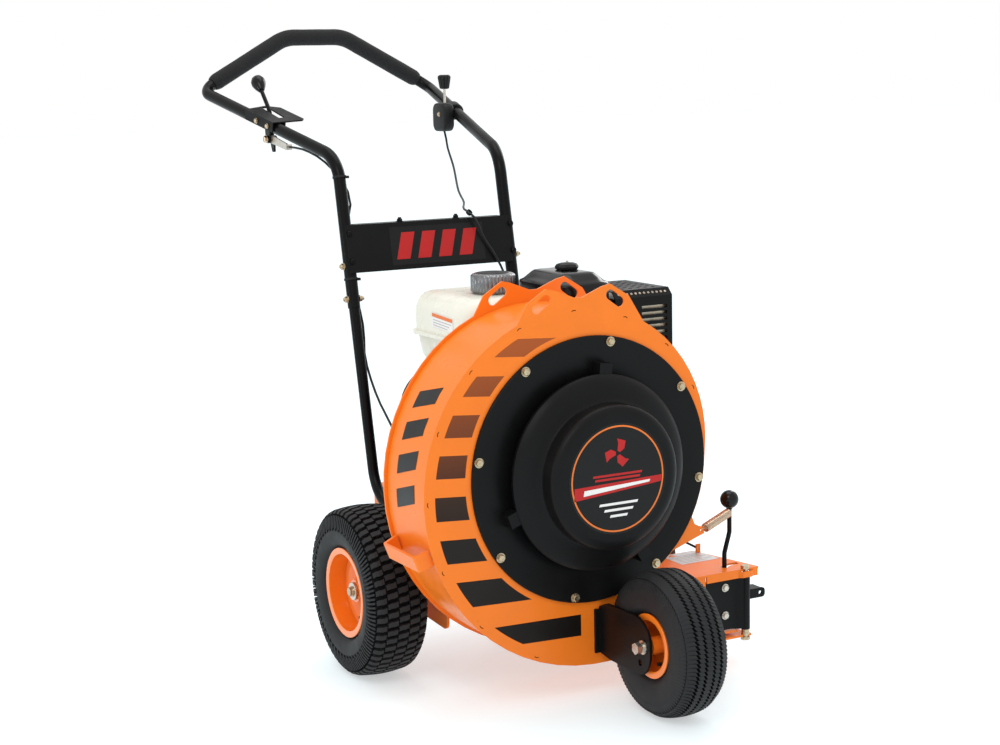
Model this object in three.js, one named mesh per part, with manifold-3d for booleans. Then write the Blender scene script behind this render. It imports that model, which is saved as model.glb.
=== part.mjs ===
// Walk-behind leaf blower: scroll housing on three wheels, engine behind it, handle at the back.
// Millimetres, +Z up. The nose and front wheel point to -Y, the discharge opens to +X.
// Sub-parts are drawn about the crankshaft's line (x = 0) and the front plate's face (y = 0),
// and the finished group is moved so that its origin lies on the floor under its middle.
import * as THREE from 'three';
import { mergeVertices } from 'three/addons/utils/BufferGeometryUtils.js';
import Module from 'manifold-3d';

const wasm = await Module();
wasm.setup();

// ---- driving dimensions -------------------------------------------------------------------

const CENTRE = { x: 24.15, y: 461.85 };
const GAP = 0.3;

const CRANK_Z = 431;
const SHEET = 4;
const PLATE_PITCH = 162;
const BACK_Y = PLATE_PITCH + SHEET;
const SCROLL = { start: 251, slope: 0.6, curl: 0.00062 };
const CUTOFF_DEG = -54;
const OUTLET = { x: 252, endX: 334, topZ: 190 };
const LUG = { x: -20, half: 65, top: 768, valley: 748 };
const BAND = { inset: 6, thickness: SHEET };

const COVER = { radius: 246.6, boltCircle: 236.7, mouth: 150, thickness: 6 };
const DISH = { radius: 180, dome: 132, depth: 92, wall: 3.5 };

const PIN = { x: 345, y: 0, radius: 5.5 };
const GATE = { sleeve: 9, freeX: 257, low: 76, high: 176.5, openDeg: 45 };
const ROD = { x: 318, y: 31, radius: 4.5 };

const CHASSIS_X = -6;
const DECK = { halfWidth: 173, z: 325, front: 170, rear: 560, flange: 55 };
const AXLE = { y: 366, z: 165, radius: 10 };
const REAR_WHEEL = { x: 281, radius: 165, width: 118, rim: 88 };
const FRONT_WHEEL = { x: 65, y: -150, radius: 133.4, width: 93, rim: 59.5 };
const FORK = { inner: 46, sheet: 5 };

const TUBE = 12.7;
const LEG = { x: 186.5, lean: 0.195, topY: 656, topZ: 985 };
const CORNER = { x: 282.5, y: 1178, z: 1124 };
const TOP_BAR = { x: 72, y: 1191, z: 1240.5 };
const LEG_BEND = 75;
const CORNER_BEND = 38;
const TOP_BEND = 90;
const GRIP_START = 0.155;

// ---- solids -------------------------------------------------------------------------------

function signedVolume(positions, triangles) {
  const a = new THREE.Vector3();
  const b = new THREE.Vector3();
  const c = new THREE.Vector3();
  let sum = 0;
  for (let i = 0; i < triangles.length; i += 3) {
    a.fromArray(positions, 3 * triangles[i]);
    b.fromArray(positions, 3 * triangles[i + 1]);
    c.fromArray(positions, 3 * triangles[i + 2]);
    sum += a.dot(b.cross(c));
  }
  return sum;
}

function solid(geometry) {
  const bare = geometry.clone();
  bare.deleteAttribute('normal');
  bare.deleteAttribute('uv');
  const merged = mergeVertices(bare, 1e-3);
  const positions = merged.attributes.position.array;
  const index = merged.index.array;
  const triangles = [];
  for (let i = 0; i < index.length; i += 3) {
    const [a, b, c] = [index[i], index[i + 1], index[i + 2]];
    if (a !== b && b !== c && c !== a) {
      triangles.push(a, b, c);
    }
  }
  if (signedVolume(positions, triangles) < 0) {
    triangles.reverse();
  }
  const mesh = new wasm.Mesh({
    numProp: 3,
    vertProperties: new Float32Array(positions),
    triVerts: new Uint32Array(triangles),
  });
  return new wasm.Manifold(mesh);
}

function toGeometry(manifold) {
  const mesh = manifold.getMesh();
  const geometry = new THREE.BufferGeometry();
  geometry.setAttribute('position', new THREE.BufferAttribute(mesh.vertProperties, 3));
  geometry.setIndex(new THREE.BufferAttribute(mesh.triVerts, 1));
  geometry.computeVertexNormals();
  return geometry;
}

const join = (...parts) => parts.reduce((whole, part) => whole.add(part));
const cut = (whole, ...tools) => tools.reduce((rest, tool) => rest.subtract(tool), whole);

function box(x0, x1, y0, y1, z0, z1) {
  const geometry = new THREE.BoxGeometry(x1 - x0, y1 - y0, z1 - z0);
  geometry.translate((x0 + x1) / 2, (y0 + y1) / 2, (z0 + z1) / 2);
  return solid(geometry);
}

function rod(from, to, radius, sides = 16, endRadius = radius) {
  const a = new THREE.Vector3(...from);
  const b = new THREE.Vector3(...to);
  const geometry = new THREE.CylinderGeometry(endRadius, radius, a.distanceTo(b), sides);
  const along = b.clone().sub(a).normalize();
  geometry.applyQuaternion(new THREE.Quaternion().setFromUnitVectors(new THREE.Vector3(0, 1, 0), along));
  geometry.translate(...a.add(b).multiplyScalar(0.5).toArray());
  return solid(geometry);
}

function ball(centre, radius, sides = 20) {
  const geometry = new THREE.SphereGeometry(radius, sides, Math.round(sides / 2));
  geometry.translate(...centre);
  return solid(geometry);
}

// Turned part: each profile point is [radius, distance along the axis from the centre].
function turned(axis, centre, profile, sides = 40) {
  const points = profile.map(([radius, along]) => new THREE.Vector2(radius, along));
  const geometry = new THREE.LatheGeometry(points, sides);
  if (axis === 'x') {
    geometry.rotateZ(-Math.PI / 2);
  }
  if (axis === 'z') {
    geometry.rotateX(Math.PI / 2);
  }
  geometry.translate(...centre);
  return solid(geometry);
}

// Flat part: an outline drawn in the plane across the axis, as [y, z], [x, z] or [x, y].
const PLATE_TURN = {
  x: new THREE.Matrix4().set(0, 0, 1, 0, 1, 0, 0, 0, 0, 1, 0, 0, 0, 0, 0, 1),
  y: new THREE.Matrix4().set(1, 0, 0, 0, 0, 0, -1, 0, 0, 1, 0, 0, 0, 0, 0, 1),
  z: new THREE.Matrix4(),
};

function plate(axis, outline, low, high, curveSegments = 8) {
  const shape = outline instanceof THREE.Shape ? outline : polygon(outline);
  const options = { depth: high - low, bevelEnabled: false, curveSegments };
  const geometry = new THREE.ExtrudeGeometry(shape, options);
  geometry.applyMatrix4(PLATE_TURN[axis]);
  const shift = { x: [low, 0, 0], y: [0, high, 0], z: [0, 0, low] }[axis];
  geometry.translate(...shift);
  return solid(geometry);
}

function polygon(points) {
  return new THREE.Shape(points.map(([u, v]) => new THREE.Vector2(u, v)));
}

// Closed outline whose corners are rounded; a point may carry its own radius as a third number.
function rounded(points, radius) {
  const shape = new THREE.Shape();
  const count = points.length;
  for (let i = 0; i < count; i += 1) {
    const corner = new THREE.Vector2(...points[i]);
    const before = new THREE.Vector2(...points[(i + count - 1) % count]);
    const after = new THREE.Vector2(...points[(i + 1) % count]);
    const wanted = points[i][2] ?? radius;
    const room = 0.48 * Math.min(corner.distanceTo(before), corner.distanceTo(after));
    const reach = Math.min(wanted, room);
    const enter = corner.clone().add(before.sub(corner).setLength(reach));
    const leave = corner.clone().add(after.sub(corner).setLength(reach));
    if (i === 0) {
      shape.moveTo(enter.x, enter.y);
    } else {
      shape.lineTo(enter.x, enter.y);
    }
    if (reach > 0.1) {
      shape.quadraticCurveTo(corner.x, corner.y, leave.x, leave.y);
    }
  }
  return shape;
}

function arcPoints(radiusAt, fromDeg, toDeg, stepDeg, centre = [0, CRANK_Z]) {
  const steps = Math.max(1, Math.round(Math.abs(toDeg - fromDeg) / stepDeg));
  const points = [];
  for (let i = 0; i <= steps; i += 1) {
    const degrees = fromDeg + ((toDeg - fromDeg) * i) / steps;
    const angle = THREE.MathUtils.degToRad(degrees);
    const radius = radiusAt(degrees);
    points.push([centre[0] + radius * Math.cos(angle), centre[1] + radius * Math.sin(angle)]);
  }
  return points;
}

// A path through given vertices, used as it stands: no resampling between them.
class VertexPath extends THREE.Curve {
  constructor(vertices) {
    super();
    this.vertices = vertices;
  }

  getPoint(t) {
    return this.vertices[Math.round(t * (this.vertices.length - 1))].clone();
  }

  getPointAt(u) {
    return this.getPoint(u);
  }

  getSpacedPoints() {
    return this.vertices.map((vertex) => vertex.clone());
  }

  getTangentAt(u) {
    const last = this.vertices.length - 1;
    const i = Math.round(u * last);
    const here = this.vertices[i];
    const back = i > 0 ? here.clone().sub(this.vertices[i - 1]).normalize() : new THREE.Vector3();
    const ahead = i < last ? this.vertices[i + 1].clone().sub(here).normalize() : new THREE.Vector3();
    return back.add(ahead).normalize();
  }
}

// Vertices of a route with an arc at each inner corner; a point's fourth number is its radius.
function bent(points, usualRadius, stepDeg = 18) {
  const route = points.map((point) => new THREE.Vector3(...point));
  const vertices = [route[0]];
  for (let i = 1; i < route.length - 1; i += 1) {
    const back = route[i - 1].clone().sub(route[i]).normalize();
    const ahead = route[i + 1].clone().sub(route[i]).normalize();
    const inner = back.angleTo(ahead);
    const turn = Math.PI - inner;
    const bendRadius = points[i][3] ?? usualRadius;
    const reach = bendRadius * Math.tan(turn / 2);
    const enter = route[i].clone().addScaledVector(back, reach);
    const middle = back.clone().add(ahead).normalize();
    const centre = route[i].clone().addScaledVector(middle, bendRadius / Math.sin(inner / 2));
    const axis = ahead.clone().cross(back).normalize();
    const steps = Math.max(2, Math.round(THREE.MathUtils.radToDeg(turn) / stepDeg));
    for (let k = 0; k <= steps; k += 1) {
      const arm = enter.clone().sub(centre).applyAxisAngle(axis, (turn * k) / steps);
      vertices.push(centre.clone().add(arm));
    }
  }
  vertices.push(route[route.length - 1]);
  return vertices;
}

function tube(vertices, radius, sides = 12) {
  const section = new THREE.Shape();
  for (let i = 0; i < sides; i += 1) {
    const angle = (2 * Math.PI * (i + 0.5)) / sides;
    const point = [radius * Math.cos(angle), radius * Math.sin(angle)];
    if (i === 0) {
      section.moveTo(...point);
    } else {
      section.lineTo(...point);
    }
  }
  const path = new VertexPath(vertices);
  const options = { steps: vertices.length - 1, extrudePath: path, bevelEnabled: false };
  return solid(new THREE.ExtrudeGeometry(section, options));
}

const mirrorX = (points) => points.map(([x, ...rest]) => [-x, ...rest]);

// ---- materials ----------------------------------------------------------------------------

function finish(color, roughness, metalness) {
  return new THREE.MeshStandardMaterial({ color, roughness, metalness });
}

const ORANGE = finish(0xf78327, 0.32, 0.0);
const BLACK = finish(0x17181a, 0.42, 0.1);
const DARK = finish(0x2b2d30, 0.55, 0.2);
const RUBBER = finish(0x1c1d1f, 0.85, 0.0);
const FOAM = finish(0x202124, 0.95, 0.0);
const STEEL = finish(0xb9b2a4, 0.3, 0.9);
const ALUMINIUM = finish(0x8f9294, 0.45, 0.8);
const CREAM = finish(0xece6d8, 0.35, 0.0);
const PLASTIC = finish(0x1f2023, 0.5, 0.0);

// ---- housing ------------------------------------------------------------------------------

function scrollRadius(degrees) {
  if (degrees < 0) {
    return SCROLL.start;
  }
  return SCROLL.start + SCROLL.slope * degrees - SCROLL.curl * degrees * degrees;
}

const FLOOR_Z = CRANK_Z - scrollRadius(270);

// The two lifting lugs and the dip between them, from the right flank to the left one.
function lugOutline() {
  const right = [
    [LUG.half + 41, 744],
    [LUG.half + 2, LUG.top],
    [LUG.half - 16, 764],
    [8, LUG.valley],
  ];
  const left = mirrorX(right).reverse();
  return [...right, ...left].map(([x, z]) => [x + LUG.x, z]);
}

function scrollOutline(outletX, springLug) {
  const ear = [
    [238, 274],
    [249, 277],
    [250, 290],
    [240, 292],
    [228, 298],
  ];
  const lowerRight = arcPoints(scrollRadius, CUTOFF_DEG, -45, 9);
  const right = arcPoints(scrollRadius, -28, 66, 6);
  const left = arcPoints(scrollRadius, 118, 270, 6);
  return [
    [outletX, FLOOR_Z],
    [outletX, OUTLET.topZ],
    [150, OUTLET.topZ],
    ...lowerRight,
    ...(springLug ? ear : arcPoints(scrollRadius, -40, -32, 8)),
    ...right,
    ...lugOutline(),
    ...left,
  ];
}

// Slanted lifting slot in a lug; side is +1 for the lug towards +X.
function lugSlot(side) {
  const slot = new THREE.Shape();
  slot.absarc(12, 0, 9.5, -Math.PI / 2, Math.PI / 2, false);
  slot.absarc(-12, 0, 9.5, Math.PI / 2, (3 * Math.PI) / 2, false);
  const geometry = new THREE.ExtrudeGeometry(slot, { depth: 260, bevelEnabled: false, curveSegments: 5 });
  geometry.rotateZ(THREE.MathUtils.degToRad(-36 * side));
  geometry.applyMatrix4(PLATE_TURN.y);
  geometry.translate(LUG.x + 77 * side, 210, 741);
  return solid(geometry);
}

function frontPlate() {
  const blank = plate('y', scrollOutline(OUTLET.x, true), 0, SHEET);
  const intake = rod([0, -20, CRANK_Z], [0, 30, CRANK_Z], 228, 48);
  const hookHole = rod([243, -20, 284], [243, 30, 284], 2.6, 8);
  return cut(blank, intake, lugSlot(1), lugSlot(-1), hookHole);
}

function backPlate() {
  const blank = plate('y', scrollOutline(OUTLET.endX, false), PLATE_PITCH, BACK_Y);
  const crankHole = rod([0, 100, CRANK_Z], [0, 200, CRANK_Z], 60, 24);
  return cut(blank, crankHole, lugSlot(1), lugSlot(-1));
}

// One strip: along the outlet's roof, up the cut-off, round the scroll and out along the floor.
function scrollBand() {
  const outer = (degrees) => scrollRadius(degrees) - BAND.inset;
  const inner = (degrees) => outer(degrees) - BAND.thickness;
  const roof = OUTLET.topZ - BAND.inset;
  const floor = FLOOR_Z + BAND.inset;
  const outline = [
    [OUTLET.x, roof],
    [144, roof],
    ...arcPoints(outer, CUTOFF_DEG, 270, 6),
    [OUTLET.endX - 4, floor],
    [OUTLET.endX - 4, floor + BAND.thickness],
    ...arcPoints(inner, 270, CUTOFF_DEG, 6),
    [139, roof - BAND.thickness],
    [OUTLET.x, roof - BAND.thickness],
  ];
  return plate('y', outline, SHEET + GAP, PLATE_PITCH - GAP);
}

function coverPlate() {
  const profile = [
    [COVER.radius, -GAP],
    [COVER.radius, -GAP - COVER.thickness],
    [COVER.mouth + 7, -GAP - COVER.thickness],
    [COVER.mouth, -3],
    [COVER.mouth - 4, 20],
    [COVER.mouth - 1, 20],
    [COVER.mouth + 4, -GAP],
    [COVER.radius, -GAP],
  ];
  return turned('y', [0, 0, CRANK_Z], profile, 56);
}

function inletGuard() {
  const back = -GAP - COVER.thickness - GAP;
  const wire = 4;
  const radii = [152, 112, 72];
  let guard = turned('y', [0, 0, CRANK_Z], [[0, back - wire], [34, back - wire], [34, back], [0, back]], 20);
  for (const radius of radii) {
    const profile = [
      [radius, back],
      [radius, back - wire],
      [radius + wire, back - wire],
      [radius + wire, back],
      [radius, back],
    ];
    guard = guard.add(turned('y', [0, 0, CRANK_Z], profile, 28));
  }
  for (let i = 0; i < 6; i += 1) {
    const angle = (Math.PI * i) / 3 + 0.2;
    const spoke = new THREE.BoxGeometry(124, wire, wire);
    spoke.translate(92, 0, 0);
    spoke.rotateY(-angle);
    spoke.translate(0, back - wire / 2, CRANK_Z);
    guard = guard.add(solid(spoke));
  }
  return guard;
}

function intakeDish() {
  const wall = DISH.wall;
  const profile = [
    [0, -DISH.depth],
    [116, -DISH.depth + 1],
    [126, -DISH.depth + 4],
    [DISH.dome, -DISH.depth + 12],
    [DISH.dome, -56],
    [DISH.dome + 3, -51],
    [156, -47],
    [171, -42],
    [DISH.radius, -34],
    [DISH.radius, -26],
    [DISH.radius - wall, -26],
    [DISH.radius - wall, -32],
    [169, -38.5],
    [155, -43.5],
    [DISH.dome - 1, -47.5],
    [DISH.dome - wall, -54],
    [DISH.dome - wall, -DISH.depth + 14],
    [124, -DISH.depth + 8],
    [115, -DISH.depth + 4.5],
    [0, -DISH.depth + wall],
  ];
  let dish = turned('y', [0, 0, CRANK_Z], profile, 36);
  for (const degrees of [85, 200, 300]) {
    const tab = new THREE.BoxGeometry(22, 24.6, 26);
    tab.translate(DISH.radius + 8, -18.9, 0);
    tab.rotateY(-THREE.MathUtils.degToRad(degrees));
    tab.translate(0, 0, CRANK_Z);
    dish = dish.add(solid(tab));
  }
  return dish;
}

function tieDownLoop() {
  const turnAt = THREE.MathUtils.degToRad(201);
  const radius = scrollRadius(201) - BAND.inset;
  const strip = 5;
  const reach = 30;
  const shape = rounded([[0, 16], [reach, 22, 5], [reach, 148, 5], [0, 154], [0, 147], [reach - strip, 142],
    [reach - strip, 28], [0, 23]], 1);
  const geometry = new THREE.ExtrudeGeometry(shape, { depth: 30, bevelEnabled: false, curveSegments: 4 });
  geometry.translate(radius + 1.5, 0, -15);
  geometry.rotateY(-turnAt);
  geometry.translate(0, 0, CRANK_Z);
  return solid(geometry);
}

// ---- discharge and gate -------------------------------------------------------------------

function dischargeOutline(left, rightFront, rightBack) {
  return rounded([[left, -2], [rightFront, -2], [rightBack, BACK_Y], [left, BACK_Y]], 3);
}

function topPlate() {
  const low = OUTLET.topZ + GAP;
  const sheet = plate('z', dischargeOutline(152, 376, 338), low, low + SHEET);
  const lip = box(OUTLET.x + 2, 373, -2, 2, 177.5, low + 1);
  const slot = [];
  const reach = Math.hypot(ROD.x - PIN.x, ROD.y);
  const start = THREE.MathUtils.radToDeg(Math.atan2(ROD.y, ROD.x - PIN.x));
  const pin = [PIN.x, PIN.y];
  slot.push(...arcPoints(() => reach + 6.5, start + 11, start - GATE.openDeg - 11, 9, pin));
  slot.push(...arcPoints(() => reach - 6.5, start - GATE.openDeg - 11, start + 11, 9, pin));
  const slotTool = plate('z', slot, low - 10, low + 20);
  const pinHole = rod([PIN.x, PIN.y, low - 10], [PIN.x, PIN.y, low + 20], PIN.radius + 0.4, 16);
  const clip = box(332, 342, 146, 149, low + SHEET - 1, low + 22);
  const wireHole = rod([337, 140, low + 13], [337, 155, low + 13], 1.6, 8);
  const relief = box(PIN.x - 10, PIN.x + 10, -3, 3, 170, low - 0.01);
  return cut(join(sheet, cut(lip, relief), cut(clip, wireHole)), slotTool, pinHole);
}

function floorPlate() {
  const high = FLOOR_Z - GAP;
  const sheet = plate('z', dischargeOutline(225, 359, 336), high - SHEET, high);
  const pinHole = rod([PIN.x, PIN.y, high - 20], [PIN.x, PIN.y, high + 20], PIN.radius + 0.4, 16);
  return cut(sheet, pinHole);
}

function gatePin() {
  const low = FLOOR_Z - 2 * GAP - SHEET;
  const high = OUTLET.topZ + 2 * GAP + SHEET;
  const at = (z) => [PIN.x, PIN.y, z];
  const shank = rod(at(low - 5), at(high + 5), PIN.radius, 16);
  const nut = rod(at(low - 6), at(low), 9, 6);
  const head = rod(at(high), at(high + 6), 9, 6);
  const washer = rod(at(FLOOR_Z), at(GATE.low - 2), 8, 16);
  return join(shank, nut, head, washer);
}

// Folded panel whose outer edge is rolled round the pin.
function gatePanel() {
  const outline = [
    [GATE.freeX, 8],
    [317, 8],
    [325, 2],
    [338, -5],
    [338, 5],
    [328, 6.5],
    [320, 12],
    [GATE.freeX, 12],
  ];
  const sheet = plate('z', outline, GATE.low, GATE.high);
  const roll = rod([PIN.x, PIN.y, GATE.low - 1.5], [PIN.x, PIN.y, GATE.high], GATE.sleeve, 20);
  const bore = rod([PIN.x, PIN.y, 0], [PIN.x, PIN.y, 300], PIN.radius + 0.5, 20);
  return cut(join(sheet, roll), bore);
}

// Bracket bolted behind the panel with a narrow channel that reaches past the pin.
function gateArm() {
  const low = 127;
  const high = 146;
  const outer = 401;
  const foot = plate('y', rounded([[268, 92], [316, 92], [316, 172], [268, 172]], 5), 12.3, 16.3);
  const side = rounded([[268, low], [outer, low, 8], [outer, high, 8], [268, high]], 2);
  const web = plate('y', side, 12.3, 16.3);
  const flangeTop = box(268, outer - 8, 12.3, 42, high - 3.5, high);
  const flangeLow = box(268, outer - 8, 12.3, 42, low, low + 3.5);
  const eye = rod([outer - 11, 0, 136.5], [outer - 11, 60, 136.5], 4, 10);
  const rodHole = rod([ROD.x, ROD.y, 100], [ROD.x, ROD.y, 200], ROD.radius + 0.4, 12);
  return cut(join(foot, web, flangeTop, flangeLow), eye, rodHole);
}

const ROD_ROUTE = [
  [ROD.x, ROD.y, 118],
  [ROD.x, ROD.y, 222],
  [ROD.x + 12, ROD.y, 262],
  [ROD.x + 12, ROD.y, 309],
];

function gateRod() {
  return tube(bent(ROD_ROUTE, 16), ROD.radius, 10);
}

function gateBall() {
  const [x, y] = ROD_ROUTE[3];
  const whole = ball([x, y, 326.5], 18, 20);
  const socket = rod([x, y, 290], [x, y, 309 + GAP], ROD.radius + GAP, 10);
  return cut(whole, socket);
}

// Closed body of the extension spring, from the ear on the front plate to the gate's rod.
function gateSpring() {
  const from = new THREE.Vector3(243, 12, 285);
  const to = new THREE.Vector3(ROD.x + 12, ROD.y - 13, 302);
  const at = (share) => from.clone().lerp(to, share).toArray();
  return join(
    rod(at(0), at(0.16), 2, 8),
    rod(at(0.12), at(0.88), 8, 12),
    rod(at(0.84), at(1), 2, 8),
  );
}

// ---- chassis ------------------------------------------------------------------------------

function engineDeck() {
  const { halfWidth, z, front, rear, flange } = DECK;
  const left = CHASSIS_X + halfWidth;
  const right = CHASSIS_X - halfWidth;
  return join(
    box(right, left, front, rear, z - 5, z),
    box(left - SHEET, left, front, rear, z - flange, z),
    box(right, right + SHEET, front, rear, z - flange, z),
    box(right, left, front, front + SHEET, z - flange, z),
  );
}

function axleBracket(side) {
  const outline = rounded([[232, 318], [232, 98, 16], [330, 104, 12], [405, 150, 14], [405, 318]], 4);
  const near = CHASSIS_X + side * (DECK.halfWidth + GAP);
  const far = near + side * 5;
  const sheet = plate('x', outline, Math.min(near, far), Math.max(near, far));
  const hole = rod([-400, AXLE.y, AXLE.z], [400, AXLE.y, AXLE.z], AXLE.radius + 0.4, 20);
  return cut(sheet, hole);
}

function rearAxle() {
  const at = (x) => [CHASSIS_X + x, AXLE.y, AXLE.z];
  const parts = [rod(at(-318), at(318), AXLE.radius, 20)];
  for (const side of [-1, 1]) {
    parts.push(rod(at(side * 310), at(side * 313), 17, 20));
    parts.push(rod(at(side * 313), at(side * 322), 9, 6));
  }
  return join(...parts);
}

function forkPlate(side) {
  const near = FRONT_WHEEL.x + side * (FORK.inner + FORK.sheet + 1);
  const wing = FRONT_WHEEL.x + side * (FORK.inner + FORK.sheet + 12);
  const far = near + (side > 0 ? -FORK.sheet : FORK.sheet);
  const outline = rounded([[-GAP, 85], [-36, 79, 8], [-150, 79, 26], [-170, 108, 22], [-170, 160, 22],
    [-134, 185, 16], [-26, 183.5, 6], [-GAP, 172]], 1);
  const sheet = plate('x', outline, Math.min(near, far), Math.max(near, far));
  const foot = box(Math.min(near, wing), Math.max(near, wing), -5.3, -GAP, 85, 168);
  const hole = (y, z, radius) => rod([-50, y, z], [200, y, z], radius, 16);
  const { y, radius } = FRONT_WHEEL;
  return cut(join(sheet, foot), hole(y, radius, 8.4), hole(y + 12, radius - 32, 6));
}

function frontAxle() {
  const { x, y, radius: z } = FRONT_WHEEL;
  const outside = FORK.inner + FORK.sheet + 1 + GAP;
  return join(
    rod([x - outside - 14, y, z], [x + outside + 12, y, z], 8, 16),
    rod([x - outside - 3, y, z], [x - outside, y, z], 13, 16),
    rod([x - outside - 18, y, z], [x - outside - 9, y, z], 11, 6),
    rod([x + outside, y, z], [x + outside + 8, y, z], 12, 6),
  );
}

// ---- wheels -------------------------------------------------------------------------------

function tyre(centre, radius, width, rim, shoulder, sides) {
  const half = width / 2;
  const profile = [
    [rim + 1, -half * 0.78],
    [rim + 8, -half * 0.92],
    [radius - 2.3 * shoulder, -half],
    [radius - 1.1 * shoulder, -half * 0.97],
    [radius - 0.3 * shoulder, -half * 0.82],
    [radius - 2, -half * 0.5],
    [radius, 0],
    [radius - 2, half * 0.5],
    [radius - 0.3 * shoulder, half * 0.82],
    [radius - 1.1 * shoulder, half * 0.97],
    [radius - 2.3 * shoulder, half],
    [rim + 8, half * 0.92],
    [rim + 1, half * 0.78],
    [rim - 9, half * 0.7],
    [rim - 9, -half * 0.7],
    [rim + 1, -half * 0.78],
  ];
  return turned('x', centre, profile, sides);
}

// Pressed rim: flanges, bead seats, a dished disc and a hub barrel on the axle.
function rimDisc(centre, rim, width, hub, bore, sides) {
  const half = width / 2;
  const seat = rim - 9 - GAP;
  const hubHalf = hub.half;
  const barrel = [
    [seat - 4, -half * 0.86],
    [rim - 1, -half * 0.86],
    [rim - 1, -half * 0.80],
    [seat, -half * 0.72],
    [seat, half * 0.72],
    [rim - 1, half * 0.80],
    [rim - 1, half * 0.86],
    [seat - 4, half * 0.86],
    [seat - 4, -half * 0.86],
  ];
  const web = [
    [bore, -hubHalf],
    [hub.radius, -hubHalf],
    [hub.radius, -hub.disc - 2],
    [seat - 24, -hub.disc - 2],
    [seat - 12, -hub.disc - 14],
    [seat - 2, -hub.disc - 14],
    [seat - 2, -hub.disc - 10],
    [seat - 10, -hub.disc - 10],
    [seat - 22, -hub.disc + 2],
    [hub.radius, -hub.disc + 2],
    [hub.radius, hubHalf],
    [bore, hubHalf],
    [bore, -hubHalf],
  ];
  return join(turned('x', centre, barrel, sides), turned('x', centre, web, sides));
}

const REAR_HUB = { half: 28, radius: 22, disc: 0 };
const FRONT_HUB = { half: 40, radius: 16, disc: -4 };

// ---- fan and crankshaft -------------------------------------------------------------------

function impeller() {
  const centre = [0, 0, CRANK_Z];
  const backDisc = [[13.5, 146], [222, 146], [222, 150], [13.5, 150], [13.5, 146]];
  const hub = [[13.5, 96], [30, 96], [34, 146], [34, 158], [13.5, 158], [13.5, 96]];
  let fan = join(turned('y', centre, backDisc, 40), turned('y', centre, hub, 20));
  for (let i = 0; i < 10; i += 1) {
    const blade = new THREE.Shape();
    blade.moveTo(28, 146.5);
    blade.lineTo(60, 60);
    blade.lineTo(148, 32);
    blade.lineTo(220, 48);
    blade.lineTo(220, 146.5);
    const geometry = new THREE.ExtrudeGeometry(blade, { depth: 3, bevelEnabled: false });
    geometry.rotateY((2 * Math.PI * i) / 10);
    geometry.translate(...centre);
    fan = fan.add(solid(geometry));
  }
  const bore = rod([0, 0, CRANK_Z], [0, 200, CRANK_Z], 13.5, 20);
  return cut(fan, bore);
}

function crankshaft() {
  const at = (y) => [0, y, CRANK_Z];
  const shank = rod(at(88), at(179.2), 13, 20);
  const washer = rod(at(91), at(95.4), 22, 20);
  const head = rod(at(80), at(91), 11, 6);
  return join(shank, washer, head);
}

// ---- engine -------------------------------------------------------------------------------

const TANK = { right: -138, left: 46, front: 188, rear: 458, low: 580, high: 731, seam: 650 };

const CAP = { x: -37, y: 290 };

function crankcase() {
  const low = DECK.z + GAP;
  const outline = rounded([[-112, low], [112, low], [112, 470, 24], [70, 540, 20], [-70, 560, 30],
    [-112, 500, 30]], 4);
  const block = plate('y', outline, 196, 400, 4);
  const cover = rod([0, 180, CRANK_Z], [0, 197, CRANK_Z], 88, 28, 96);
  const feet = join(
    box(-128, -100, 214, 244, low, low + 14),
    box(-128, -100, 352, 382, low, low + 14),
    box(100, 128, 214, 244, low, low + 14),
    box(100, 128, 352, 382, low, low + 14),
  );
  const controls = plate('x', rounded([[300, 345], [394, 345], [394, 440], [300, 440]], 10), -152, -111, 4);
  const post = box(-96, 20, 236, 364, 500, TANK.low - 6);
  const shelf = box(-124, 34, 226, 390, TANK.low - 7, TANK.low - GAP);
  return join(block, cover, feet, controls, post, shelf);
}

function cylinderHead() {
  const finPitch = 11;
  const fins = [box(112.3, 236, 236, 366, 395, 545)];
  for (let i = 0; i < 10; i += 1) {
    const x = 122 + finPitch * i;
    fins.push(box(x, x + 3.5, 214, 388, 372, 566));
  }
  const rockerCover = plate('x', rounded([[240, 400], [362, 400], [362, 540], [240, 540]], 18), 235, 262);
  return join(...fins, rockerCover);
}

function fanShroud() {
  const outline = rounded([[-150, 338], [150, 338], [168, 400], [168, 516], [116, 574], [-96, 574],
    [-150, 520]], 36);
  const block = plate('y', outline, 400.3, 486, 6);
  const linkage = join(box(110, 150, 405, 440, 520, 598), rod([128, 415, 590], [128, 415, 604.7], 8, 14));
  return join(block, linkage);
}

const RECOIL = { x: -74, z: 510 };

function recoilCover() {
  const profile = [[0, 486.3], [104, 486.3], [104, 498], [96, 510], [66, 518], [54, 528], [0, 530]];
  return turned('y', [0, 0, CRANK_Z], profile, 32);
}

function recoilHandle() {
  const grip = rod([RECOIL.x - 33, 534, RECOIL.z], [RECOIL.x + 33, 534, RECOIL.z], 11, 12);
  const stem = rod([RECOIL.x, 521, RECOIL.z], [RECOIL.x, 534, RECOIL.z], 6, 10);
  return join(grip, stem);
}

function recoilBoss() {
  return rod([RECOIL.x, 486.3, RECOIL.z], [RECOIL.x, 520.6, RECOIL.z], 13, 14);
}

function fuelTank() {
  const t = TANK;
  const footprint = (grow) => rounded([[t.right - grow, t.front - grow], [t.left + grow, t.front - grow],
    [t.left + grow, t.rear + grow], [t.right - grow, t.rear + grow]], 40 + grow);
  const layers = [[-20, t.low, 604], [-12, 603, 628], [-5, 627, t.seam], [6, t.seam - 3, t.seam + 3],
    [0, t.seam, 690], [-5, 689, 713], [-13, 712, t.high - 9], [-28, t.high - 10, t.high]];
  const neck = rod([CAP.x, CAP.y, t.high - 1], [CAP.x, CAP.y, t.high + 3], 26, 20);
  return join(...layers.map(([grow, low, high]) => plate('z', footprint(grow), low, high, 4)), neck);
}

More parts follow.
